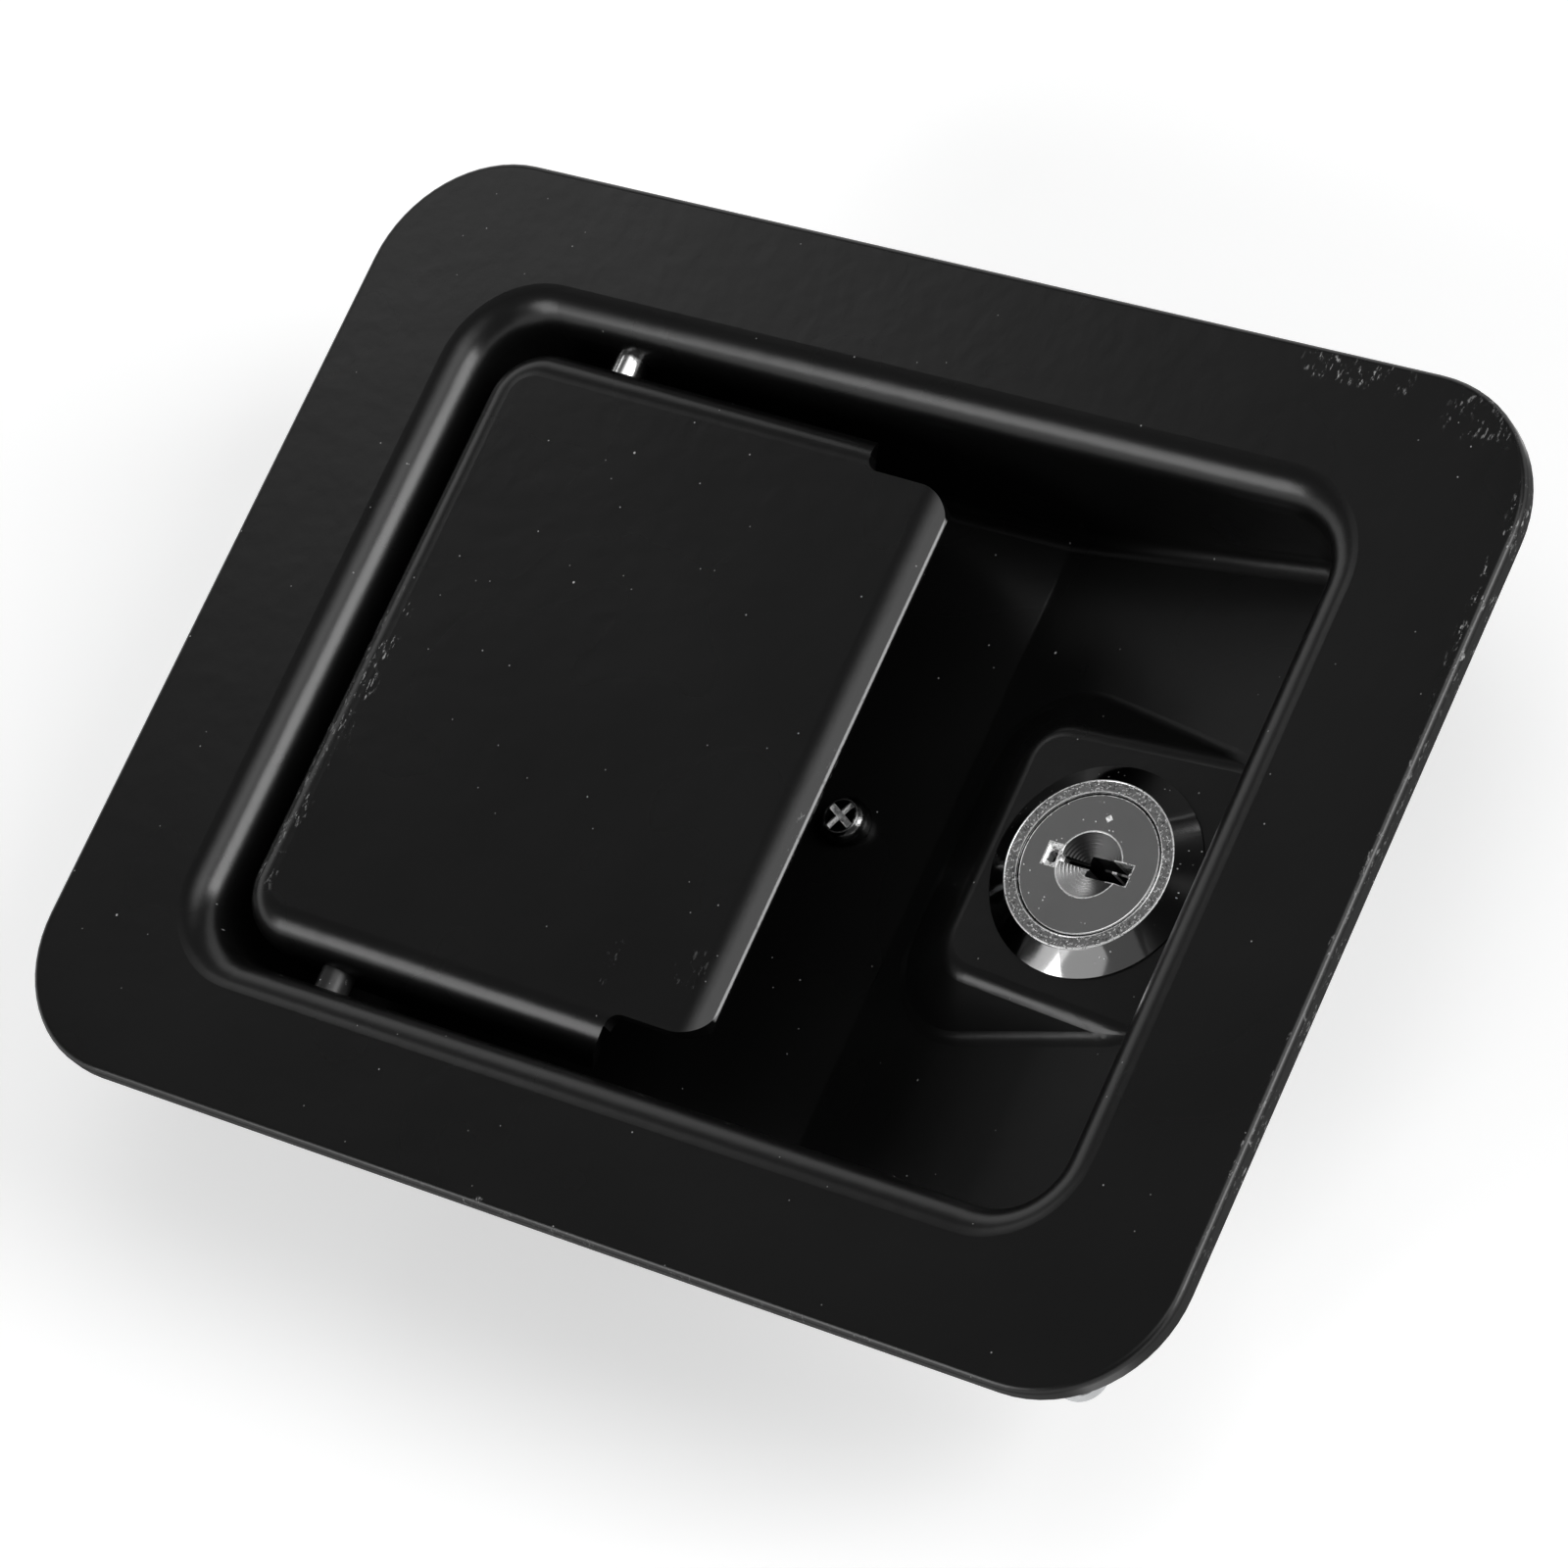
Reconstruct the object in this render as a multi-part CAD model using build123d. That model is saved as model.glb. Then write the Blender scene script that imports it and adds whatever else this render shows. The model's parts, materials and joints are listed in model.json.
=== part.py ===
"""Recessed paddle latch with a spring bolt and a key lock, in millimetres.

The origin is the centre of the four mounting studs, on the back of the flange, where
the door panel touches it. +Z points out of the front, +X from the hinge pin towards
the lock, and the bolt leaves the latch towards -X.
"""
import os
from math import cos, radians, sin, sqrt, tan

from build123d import *

# ---- pressed pan
SHEET = 2.0                 # steel of the pan
FLANGE_LENGTH = 139.7
FLANGE_WIDTH = 107.95
FLANGE_CORNER = 14.4
FLANGE_EDGE = 0.7           # rounding of the flange's outer edge
RECESS_LENGTH = 103.8       # wall to wall at the front face
RECESS_WIDTH = 75.3
RECESS_CORNER = 7.0
RECESS_DEPTH = 22.0         # front face to floor
RECESS_DRAFT = 3.5          # degrees
RIM_RADIUS = 4.0            # front face into the walls
FOOT_RADIUS = 2.0           # walls, ramp and boss into the floor, front side
FOOT_RADIUS_BACK = 1.5
RAMP_RUN = 39.9             # finger ramp, from its foot to the recess's lock end
RAMP_ANGLE = 13.6
BOSS_RUN = 29.5             # raised seat of the lock, measured the same way
BOSS_DROP = 13.45           # front face to the top of the boss
BOSS_WIDTH = 27.0
BOSS_FLARE = 3.3            # degrees that each long side opens by
BOSS_SIDE = 45.0
BOSS_CORNER = 4.0
BOSS_EDGE = 2.6             # rounding of the boss's brow, front side
BOSS_EDGE_BACK = 1.2

# ---- studs
STUD_SPACING_X = 104.8
STUD_SPACING_Y = 92.1
STUD_RADIUS = 3.175
STUD_LENGTH = 19.0
STUD_CHAMFER = 0.6

# ---- clearances, all radial or one-sided
RUNNING = 0.08              # turning and sliding fits
PRESSED = 0.02              # pins and rivets in their holes
SCREW_ROOM = 0.1            # screws in their holes
LOCK_ROOM = 0.15            # the lock in its hole
WASHER_ROOM = 0.15
NUT_ROOM = 0.05

# ---- paddle, hinge pin and lever
PIN_SETBACK = 14.9          # recess's hinge end to the pin
PIN_DROP = 6.1              # front face to the pin
PIN_RADIUS = 1.8
PIN_HEAD_RADIUS = 2.7
PIN_HEAD = 1.2
PIN_HEAD_STANDOFF = 0.55    # head to the drafted wall
CLIP_STANDOFF = 1.0
CLIP_THICKNESS = 0.6
CLIP_RADIUS = 3.3
CLIP_GROOVE = 0.5
CLIP_GROOVE_ROOM = 0.05
CLIP_MOUTH = 2.34           # width of the clip's opening
PIN_TAIL = 1.0              # beyond the clip
PIN_CHAMFER = 0.4
PADDLE_SHEET = 1.8
PADDLE_DROP = 0.75          # front face to the top of the paddle, over the pin
PADDLE_TILT = 2.6           # degrees that the lip hangs low at rest
PADDLE_GAP = 2.25           # recess's hinge end to the paddle
PADDLE_SIDE_GAP = 2.75      # recess's sides to the paddle, at the front face
PADDLE_SKIRT = 9.8          # height of the turned-down sides
SKIRT_SLANT = 26.4          # degrees that the sides' free ends lean back
PADDLE_CORNER = 6.5
PADDLE_EDGE = 3.8
PADDLE_NOTCH = 1.6
LIP_TO_RAMP = 3.6           # the lip's end to the foot of the ramp
LIP_LENGTH = 10.9           # beyond the turned-down sides
LIP_BEND_RUN = 3.4          # the lip's bend to its end
LIP_SIDE = 4.1              # narrower than the paddle, on each side
LIP_ANGLE = 22.5
LIP_BEND = 4.0              # inside radius of the lip's bend
LIP_CORNER = 4.0
PADDLE_OPEN = 28.0          # degrees
LEVER_SHEET = 2.0
SLOT_ROOM = 0.8             # a leg to the sides of its slot in the pan
LEVER_LEG_GAP = 12.0        # between the inner faces of the legs
LEVER_LEG_NEAR = 2.6        # pin axis to the legs' near edge
LEVER_LEG_WIDTH = 6.0
LEVER_REACH = 24.0          # pin to the legs' tips
LEVER_PAD_LENGTH = 18.0     # welded under the paddle
LEVER_GUSSET = 5.0
LEVER_BEND = 0.6            # inside radius
LEVER_TIP_FLAT = 0.4        # half of the flat left at a leg's tip

# ---- bolt, slide and their housing
BOLT_WIDTH = 20.0
BOLT_HEAD_HEIGHT = 12.5
BOLT_REACH = 12.15          # nose past the flange's edge
BOLT_HEAD = 16.0            # nose to shoulder
BOLT_REAR_ROOM = 0.6        # the shank's rear to the legs, at full travel
BOLT_SLANT = 35.0           # degrees from the bolt's length
BOLT_TIP = 4.5              # flat left at the tip
BOLT_EDGE = 0.8
SLIDE_SHEET = 2.5
SLIDE_WIDTH = 22.0
SLIDE_PLAY = 0.3
SLIDE_LUG_HEIGHT = 7.0
SLIDE_LUG_WIDTH = 6.0
LUG_TO_CAM = 0.5
LUG_TOP_Y = -2.6            # the lug stays on the far side of the cam's swing
LUG_TO_LOCK = 0.7           # lug to the lock's body, at full travel
SLIDE_CORNER = 2.0
SLIDE_LUG_BEND = 0.6        # inside radius
SLIDE_BEND_FLAT = 1.0       # flat left between the plate's end and the lug's bend
BEND_OVERLAP = 3.0          # bent strips reach this far into what they continue
DRIVE_GAP = 0.4             # a leg to the end of its window
WINDOW_ROOM = 0.6           # a leg to the sides of its window
WINDOW_CORNER = 0.6
HOUSING_SHEET = 1.8
HOUSING_SETBACK = 2.0       # the bolt's shoulder to the housing's mouth
HOUSING_FLANGE = 9.0
HOUSING_FLANGE_FRONT = 13.0     # from the pin, towards the nose
HOUSING_FLANGE_REAR = 28.0      # from the pin, towards the lock
HOUSING_CORNER = 3.0
HOUSING_BEND = 1.0          # inside radius
HOUSING_TAB_WIDTH = 9.0
HOUSING_TAB_SETBACK = 12.0  # from the pin, towards the lock
TAB_CUT = 8.0               # length of the hole that the tab leaves
TAB_CUT_ROOM = 0.4
RIVET_RADIUS = 1.6
RIVET_HEAD = 3.0
RIVET_HEAD_HEIGHT = 1.2
RIVET_TAIL = 2.55
RIVET_DOME = 0.96
RIVET_FRONT = 8.0           # from the pin, towards the nose
RIVET_REAR = 22.0           # from the pin, towards the lock
BOLT_RIVET_SPACING = 6.0
BOLT_RIVET_SINK = 1.4
BOLT_RIVET_DEPTH = 6.0
SPRING_PEG = 1.9
SPRING_PEG_LENGTH = 4.0
SPRING_PEG_CHAMFER = 0.6

# ---- guide screw
GUIDE_SETBACK = 11.7        # from the slide's lug
GUIDE_RADIUS = 1.5
GUIDE_HEAD_RADIUS = 2.6
GUIDE_HEAD_HEIGHT = 2.3
GUIDE_HEAD_DOME = 1.035
GUIDE_CROSS = (3.0, 0.75)   # length and width of each arm
GUIDE_CROSS_DEPTH = 1.2
GUIDE_CROSS_TAPER = 12.0
GUIDE_TAIL = 1.2            # screw beyond its nut
GUIDE_TIP = 0.3
GUIDE_BUSH_RADIUS = 3.0
GUIDE_SLOT_ROOM = 0.25      # bush to the sides of the slide's slot
GUIDE_CROSS_TURN = 20.0     # degrees that the screw's cross stands at
WASHER_RADIUS = 5.5
WASHER_THICKNESS = 1.0
NUT_FLATS = 5.5
NUT_HEIGHT = 3.6

NUT_CHAMFER = (0.12, 0.07)  # of a nut's corner radius, along the corner and in height

# ---- lock
LOCK_SETBACK = 16.55        # from the recess's lock end
LOCK_LENGTH = 17.0          # below its collar
LOCK_RADIUS = 9.4
LOCK_FLATS = 17.2
LOCK_NUT_FLATS = 21.5
LOCK_NUT_HEIGHT = 3.5
COLLAR_RADIUS = 11.37
COLLAR_FACE_RADIUS = 9.08
COLLAR_HEIGHT = 2.1
PLUG_RADIUS = 7.5
PLUG_BORE_CHAMFER = 0.25
PLUG_SUNK = 0.15            # the plug's face below the collar's
PLUG_DISH_RADIUS = 3.5
PLUG_DISH_FLAT = 0.4
PLUG_DISH_DEPTH = 0.7
INDEX_RADIUS = 0.45         # the dot that marks the plug's top
INDEX_DEPTH = 0.4
INDEX_Y = 5.06
PLUG_DRIVE = 8.0            # square that carries the cam
KEYWAY_LENGTH = 9.8
KEYWAY_WIDTH = 2.1
KEYWAY_DEPTH = 15.0
KEYWAY_CORNER = 0.4
WAFER_COUNT = 5
WAFER_FIRST = 1.5           # below the boss
WAFER_PITCH = 2.4
WAFER_SIZE = (12.2, 6.0, 1.0)
WAFER_ROOM = 0.1
WAFER_WINDOW_ROOM = 0.4
WAFER_WINDOW_CORNER = 0.3
CAM_ROOM = 0.2              # under the lock's body
CAM_SHEET = 2.2
CAM_HUB = 7.5
CAM_WIDTH = 10.0
CAM_NECK = 6.4
CAM_HOOK = 6.0              # depth of the hook at the cam's tip
CAM_HOOK_SLOPE = 3.0
CAM_SQUARE_ROOM = 0.05
CAM_SCREW_RADIUS = 2.0
CAM_SCREW_HEAD = 3.6
CAM_SCREW_HEAD_HEIGHT = 2.4
CAM_SCREW_DOME = 0.96
CAM_SCREW_DEPTH = 5.0
CAM_SCREW_TIP_ROOM = 0.5
CAM_SCREW_SLOT = (1.0, 1.0)     # width and depth
CAM_WASHER_RADIUS = 4.8
CAM_WASHER_THICKNESS = 1.0

# ---- springs
BOLT_SPRING_WIRE = 0.8
BOLT_SPRING_RADIUS = 3.0
BOLT_SPRING_TURNS = 7
SPRING_SIDES = 6            # sides of the wire's section
SPRING_STEPS = 14           # straight steps in a turn

# ---- places that follow from the sizes above
FRONT = SHEET
FLOOR = FRONT - RECESS_DEPTH
FLOOR_BACK = FLOOR - SHEET
PIN_Z = FRONT - PIN_DROP
PADDLE_TOP = FRONT - PADDLE_DROP
PADDLE_UNDER = PADDLE_TOP - PADDLE_SHEET
RAMP_START = RECESS_LENGTH / 2 - RAMP_RUN
BOSS_START = RECESS_LENGTH / 2 - BOSS_RUN
LOCK_X = RECESS_LENGTH / 2 - LOCK_SETBACK
PIN_X = PIN_SETBACK - RECESS_LENGTH / 2
PADDLE_LEFT = PADDLE_GAP - RECESS_LENGTH / 2
PADDLE_WIDTH = RECESS_WIDTH - 2 * PADDLE_SIDE_GAP
LIP_END = RAMP_START - LIP_TO_RAMP
LIP_BEND_X = LIP_END - LIP_BEND_RUN
LIP_WIDTH = PADDLE_WIDTH - 2 * LIP_SIDE
PADDLE_SIDES_END = LIP_END - LIP_LENGTH
BOLT_NOSE_X = -FLANGE_LENGTH / 2 - BOLT_REACH
BOLT_SHOULDER_X = BOLT_NOSE_X + BOLT_HEAD
HOUSING_FRONT_X = BOLT_SHOULDER_X + HOUSING_SETBACK
HOUSING_FLANGE_ENDS = (PIN_X - HOUSING_FLANGE_FRONT, PIN_X + HOUSING_FLANGE_REAR)
HOUSING_TAB_X = PIN_X + HOUSING_TAB_SETBACK
RIVET_XS = (PIN_X - RIVET_FRONT, PIN_X + RIVET_REAR)
SLIDE_TOP = FLOOR_BACK - SLIDE_PLAY
SLIDE_UNDER = SLIDE_TOP - SLIDE_SHEET
BOLT_UNDER = SLIDE_TOP - BOLT_HEAD_HEIGHT
HOUSING_FLOOR = BOLT_UNDER - SLIDE_PLAY
BOSS_TOP = FRONT - BOSS_DROP
BOSS_UNDER = BOSS_TOP - SHEET
LOCK_END = BOSS_TOP - LOCK_LENGTH
CAM_TOP = LOCK_END - CAM_ROOM
DRIVE_END = CAM_TOP - CAM_SHEET
LEVER_LEG_FAR = LEVER_LEG_NEAR + LEVER_LEG_WIDTH
PAST = 1.0                  # how far a cutter reaches past what it cuts
CLOSE = 0.01                # two places nearer than this are the same


def leg_edge(depth, angle, offset):
    """X, from the pin, of an edge OFFSET from the pin axis where it crosses a level."""
    return depth * tan(radians(angle)) + offset / cos(radians(angle))


TRAVEL = leg_edge(PIN_Z - SLIDE_UNDER, PADDLE_OPEN, LEVER_LEG_FAR) - LEVER_LEG_FAR
BOLT_REAR_X = PIN_X + LEVER_LEG_NEAR - TRAVEL - BOLT_REAR_ROOM
SLIDE_END = LOCK_X - LOCK_RADIUS - TRAVEL - LUG_TO_LOCK
GUIDE_X = SLIDE_END - GUIDE_SETBACK
CAM_REACH = LOCK_X - SLIDE_END - LUG_TO_CAM


def cylinder(radius, bottom, top, x=0, y=0):
    """An upright round bar between two levels."""
    return Pos(x, y, bottom) * extrude(Circle(radius), top - bottom)


def box(x, y, z):
    """A box from three (low, high) pairs."""
    size = Box(x[1] - x[0], y[1] - y[0], z[1] - z[0])
    return Pos((x[0] + x[1]) / 2, (y[0] + y[1]) / 2, (z[0] + z[1]) / 2) * size


def across(profile, width):
    """A profile drawn in X and Z, extruded by half WIDTH to each side."""
    return extrude(Plane.XZ * profile, width / 2, both=True)


def wall_y(level, grow=0.0):
    """Half width of the recess at a level, or of the pan's outside with GROW."""
    draft = radians(RECESS_DRAFT)
    return RECESS_WIDTH / 2 + grow / cos(draft) - (FRONT - level) * tan(draft)


def recess_form(grow, foot, brow_radius):
    """The recess with its ramp and boss, moved out by GROW: 0 is the front skin of the
    sheet and SHEET its back skin."""
    side = grow / cos(radians(RECESS_DRAFT))
    floor = FLOOR - grow
    length = RECESS_LENGTH + 2 * side
    mouth = RectangleRounded(length, RECESS_WIDTH + 2 * side, RECESS_CORNER + side)
    block = extrude(Plane.XY.offset(FRONT) * mouth, floor - FRONT, taper=RECESS_DRAFT)

    start = RAMP_START + grow * tan(radians(RAMP_ANGLE / 2))
    end = start + RECESS_LENGTH
    rise = RECESS_LENGTH * tan(radians(RAMP_ANGLE))
    wedge = Polyline((start, floor), (end, floor + rise), (end, floor), close=True)
    ramp = across(make_face(wedge), 2 * RECESS_WIDTH)
    ramp += box((start, end), (-RECESS_WIDTH, RECESS_WIDTH), (floor - SHEET, floor))

    top = BOSS_TOP - grow
    shrink = grow * tan(radians(BOSS_SIDE / 2))
    half = BOSS_WIDTH / 2 - shrink
    left = BOSS_START + shrink
    wide = half + RECESS_LENGTH * tan(radians(BOSS_FLARE))
    right = left + RECESS_LENGTH
    plan = Polyline((left, -half), (right, -wide), (right, wide), (left, half), close=True)
    plan = make_face(plan)
    plan = fillet(plan.vertices().group_by(Axis.X)[0], BOSS_CORNER)
    boss = extrude(Plane.XY.offset(top) * plan, floor - SHEET - top, taper=-BOSS_SIDE)
    seat = boss.faces().sort_by(Axis.Z)[-1]
    brow = [edge for edge in seat.edges() if edge.center().X < RECESS_LENGTH]
    boss = fillet(brow, brow_radius)

    form = block - (ramp + boss)
    feet = [edge for edge in form.edges() if edge.bounding_box().max.Z < -PAST]
    return fillet(feet, foot)


def lock_outline(clearance=0.0):
    """The lock body's section: a circle with two flats."""
    flats = Rectangle(4 * LOCK_RADIUS, LOCK_FLATS + 2 * clearance)
    return Pos(LOCK_X, 0) * (Circle(LOCK_RADIUS + clearance) & flats)


def leg_centres():
    """Y of the two lever legs."""
    offset = LEVER_LEG_GAP / 2 + LEVER_SHEET / 2
    return (-offset, offset)


def pan():
    """The pressed steel pan with its flange, ramp, boss and holes."""
    plate = extrude(RectangleRounded(FLANGE_LENGTH, FLANGE_WIDTH, FLANGE_CORNER), SHEET)
    plate = fillet(plate.faces().sort_by(Axis.Z)[-1].edges(), FLANGE_EDGE)
    outside = recess_form(SHEET, FOOT_RADIUS_BACK, BOSS_EDGE_BACK)
    body = plate + outside
    body = fillet(mouth_edges(body, 0), RIM_RADIUS - SHEET)
    body -= recess_form(0, FOOT_RADIUS, BOSS_EDGE)
    body = fillet(mouth_edges(body, FRONT), RIM_RADIUS)

    low = FLOOR_BACK - PAST
    high = FLOOR + PAST
    lock_hole = lock_outline(LOCK_ROOM)
    body -= extrude(Plane.XY.offset(BOSS_UNDER - PAST) * lock_hole, SHEET + 2 * PAST)
    body -= pin_side(-FLANGE_WIDTH / 2, FLANGE_WIDTH / 2, PIN_RADIUS + PRESSED)
    body -= cylinder(GUIDE_RADIUS + SCREW_ROOM, low, high, GUIDE_X)
    for x, y in rivet_places():
        body -= cylinder(RIVET_RADIUS + PRESSED, low, high, x, y)
    for y in leg_centres():
        body -= leg_slot(y)
    return body


def mouth_edges(body, level):
    """The edges round the recess's mouth at a level of the flange."""
    reach_x = RECESS_LENGTH / 2 + SHEET + PAST
    reach_y = RECESS_WIDTH / 2 + SHEET + PAST
    found = []
    for edge in body.edges():
        centre = edge.center()
        flat = abs(edge.bounding_box().max.Z - edge.bounding_box().min.Z) < CLOSE
        inside = abs(centre.X) < reach_x and abs(centre.Y) < reach_y
        if flat and inside and abs(centre.Z - level) < CLOSE:
            found.append(edge)
    return found


def leg_slot(y):
    """Slot in the pan's floor, as long as a leg's swing through it."""
    low = PIN_X + LEVER_LEG_NEAR - SLOT_ROOM
    high = PIN_X + leg_edge(PIN_Z - FLOOR_BACK, PADDLE_OPEN, LEVER_LEG_FAR) + SLOT_ROOM
    slot = SlotOverall(high - low, LEVER_SHEET + 2 * SLOT_ROOM)
    return Pos((low + high) / 2, y, FLOOR_BACK - PAST) * extrude(slot, SHEET + 2 * PAST)


def rivet_places():
    """(x, y) of the rivets, in the middle of the housing's flanges."""
    y = housing_y() + HOUSING_SHEET + HOUSING_FLANGE / 2
    return [(x, side * y) for x in RIVET_XS for side in (-1, 1)]


def mounting_studs():
    """Four weld studs behind the flange's corners."""
    stud = cylinder(STUD_RADIUS, -STUD_LENGTH, 0)
    stud = chamfer(stud.faces().sort_by(Axis.Z)[0].edges(), STUD_CHAMFER)
    places = GridLocations(STUD_SPACING_X, STUD_SPACING_Y, 2, 2)
    return Compound(children=[place * stud for place in places])


def pin_side(start, end, radius):
    """A round bar on the pin's axis between two Y values."""
    return Pos(PIN_X, end, PIN_Z) * Rot(90, 0, 0) * extrude(Circle(radius), end - start)


def clip_y():
    """Y of the retaining clip's inner face."""
    return wall_y(PIN_Z, SHEET) + CLIP_STANDOFF


def hinge_pin():
    """The paddle's pin: a head on one end and a clip groove at the other."""
    head = -wall_y(PIN_Z, SHEET) - PIN_HEAD_STANDOFF
    near = clip_y() - CLIP_GROOVE_ROOM
    far = clip_y() + CLIP_THICKNESS + CLIP_GROOVE_ROOM
    tail = clip_y() + CLIP_THICKNESS + PIN_TAIL
    pin = pin_side(head, near, PIN_RADIUS)
    pin += pin_side(head - PIN_HEAD, head, PIN_HEAD_RADIUS)
    pin += pin_side(near, far, PIN_RADIUS - CLIP_GROOVE)
    pin += pin_side(far, tail, PIN_RADIUS)
    ends = pin.faces().sort_by(Axis.Y)
    return chamfer(ends[0].edges() + ends[-1].edges(), PIN_CHAMFER)


def pin_clip():
    """The E-clip that keeps the pin in: a split ring with a mouth."""
    ring = Circle(CLIP_RADIUS) - Circle(PIN_RADIUS - CLIP_GROOVE + PRESSED)
    mouth = Pos(0, -CLIP_RADIUS) * Rectangle(CLIP_MOUTH, 2 * CLIP_RADIUS)
    clip = extrude(ring - mouth, CLIP_THICKNESS)
    return Pos(PIN_X, clip_y() + CLIP_THICKNESS, PIN_Z) * Rot(90, 0, 0) * clip


def paddle_block(inset, top, edge):
    """The paddle as a solid block with rounded upper edges, INSET from its outside."""
    length = PADDLE_SIDES_END - PADDLE_LEFT
    plan = Pos(PADDLE_LEFT + inset + length, 0) * Rectangle(2 * length, PADDLE_WIDTH - 2 * inset)
    plan = fillet(plan.vertices().group_by(Axis.X)[0], PADDLE_CORNER - inset)
    bottom = PADDLE_TOP - PADDLE_SKIRT
    block = extrude(Plane.XY.offset(bottom) * plan, top - bottom)
    far_end = PADDLE_LEFT + inset + 2 * length
    rims = [e for e in block.faces().sort_by(Axis.Z)[-1].edges() if e.center().X < far_end - CLOSE]
    return fillet(rims, edge)


def paddle_lip():
    """The strip beyond the turned-down sides, bent down at its end."""
    mid = PADDLE_TOP - PADDLE_SHEET / 2
    bend = LIP_BEND + PADDLE_SHEET / 2
    corner = LIP_BEND_X + bend * tan(radians(LIP_ANGLE / 2))
    end = LIP_END - PADDLE_SHEET / 2 * sin(radians(LIP_ANGLE)) - CLOSE
    fall = (end - corner) * tan(radians(LIP_ANGLE))
    start = PADDLE_SIDES_END - 2 * PADDLE_EDGE
    line = FilletPolyline((start, mid), (corner, mid), (end, mid - fall), radius=bend)
    strip = across(trace(line, PADDLE_SHEET), PADDLE_WIDTH)

    root = PADDLE_SIDES_END - PADDLE_EDGE
    plan = Pos((root + LIP_END) / 2, 0) * Rectangle(LIP_END - root, LIP_WIDTH)
    wide = Rectangle(PADDLE_EDGE, LIP_WIDTH + 2 * PADDLE_NOTCH)
    plan += Pos((root + PADDLE_SIDES_END) / 2, 0) * wide
    plan = fillet(plan.vertices().group_by(Axis.X)[-1], LIP_CORNER)
    notches = []
    for corner in plan.vertices():
        in_notch = abs(abs(corner.Y) - LIP_WIDTH / 2) < CLOSE
        if in_notch and abs(corner.X - PADDLE_SIDES_END) < CLOSE:
            notches.append(corner)
    plan = fillet(notches, PADDLE_NOTCH - CLOSE)
    column = Pos(0, 0, PADDLE_TOP - PADDLE_SKIRT) * extrude(plan, 2 * PADDLE_SKIRT)
    return strip & column & paddle_block(0, PADDLE_TOP, PADDLE_EDGE)


def paddle():
    """The pressed paddle at rest: a pan of its own at the hinge end, and a lip to lift."""
    shell = paddle_block(0, PADDLE_TOP, PADDLE_EDGE)
    shell -= paddle_block(PADDLE_SHEET, PADDLE_UNDER, PADDLE_EDGE - PADDLE_SHEET)
    bottom = PADDLE_TOP - PADDLE_SKIRT
    lean = PADDLE_SKIRT * tan(radians(SKIRT_SLANT))
    side = Polyline(
        (PADDLE_LEFT - PAST, PADDLE_TOP),
        (PADDLE_SIDES_END, PADDLE_TOP),
        (PADDLE_SIDES_END - lean, bottom),
        (PADDLE_LEFT - PAST, bottom),
        close=True,
    )
    shell = shell & across(make_face(side), 2 * PADDLE_WIDTH)
    body = shell + paddle_lip()
    body -= pin_side(-PADDLE_WIDTH, PADDLE_WIDTH, PIN_RADIUS + RUNNING)
    return Pos(PIN_X, 0, PIN_Z) * Rot(0, PADDLE_TILT, 0) * Pos(-PIN_X, 0, -PIN_Z) * body


def paddle_under(x):
    """Level of the tilted paddle's underside, above a place along the latch."""
    tilt = radians(PADDLE_TILT)
    return PIN_Z + (PADDLE_UNDER - PIN_Z) / cos(tilt) - (x - PIN_X) * tan(tilt)


def paddle_lever():
    """The bracket welded under the paddle, whose two legs reach down to the slide."""
    width = LEVER_LEG_GAP + 2 * LEVER_SHEET
    near = PIN_X + LEVER_LEG_NEAR
    far = near + LEVER_LEG_WIDTH
    end = near + LEVER_PAD_LENGTH
    tip = PIN_Z - LEVER_REACH
    gusset = far + LEVER_GUSSET
    side = Polyline(
        (near, paddle_under(near)),
        (near, tip),
        (far, tip),
        (far, paddle_under(far) - LEVER_SHEET - LEVER_GUSSET),
        (gusset, paddle_under(gusset) - LEVER_SHEET),
        (end, paddle_under(end) - LEVER_SHEET),
        (end, paddle_under(end)),
        close=True,
    )
    side = make_face(side)
    side = fillet(side.vertices().group_by(Axis.Y)[0], LEVER_LEG_WIDTH / 2 - LEVER_TIP_FLAT)
    outside = rounded_top(across(side, width), LEVER_SHEET + LEVER_BEND)
    left = near - PAST
    right = end + PAST
    between = Polyline(
        (left, paddle_under(left) - LEVER_SHEET),
        (left, tip - PAST),
        (right, tip - PAST),
        (right, paddle_under(right) - LEVER_SHEET),
        close=True,
    )
    return outside - rounded_top(across(make_face(between), LEVER_LEG_GAP), LEVER_BEND)


def rounded_top(block, radius):
    """A block with the two side edges of its top face rounded."""
    edges = block.faces().sort_by(Axis.Z)[-1].edges().sort_by(Axis.Y)
    return fillet([edges[0], edges[-1]], radius)


def coil(radius, wire, turns, length):
    """A coil of wire along +Z, with its first section's centre at z = wire / 2."""
    pitch = (length - wire) / turns
    steps = turns * SPRING_STEPS
    sections = []
    for step in range(steps + 1):
        turn = Rot(0, 0, 360 * step / SPRING_STEPS)
        rise = Pos(0, 0, wire / 2 + pitch * step / SPRING_STEPS)
        place = rise * turn * Pos(radius, 0, 0) * Rot(90, 0, 0)
        sections.append(place * RegularPolygon(wire / 2, SPRING_SIDES))
    return loft(sections, ruled=True)


def bolt_spring():
    """The compression spring that pushes the bolt out."""
    length = HOUSING_TAB_X - BOLT_REAR_X
    spring = coil(BOLT_SPRING_RADIUS, BOLT_SPRING_WIRE, BOLT_SPRING_TURNS, length)
    return Pos(BOLT_REAR_X, 0, spring_z()) * Rot(0, 90, 0) * spring


def spring_z():
    """Level of the bolt spring's axis, in the middle of the space below the slide."""
    return (SLIDE_UNDER + HOUSING_FLOOR) / 2


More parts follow.
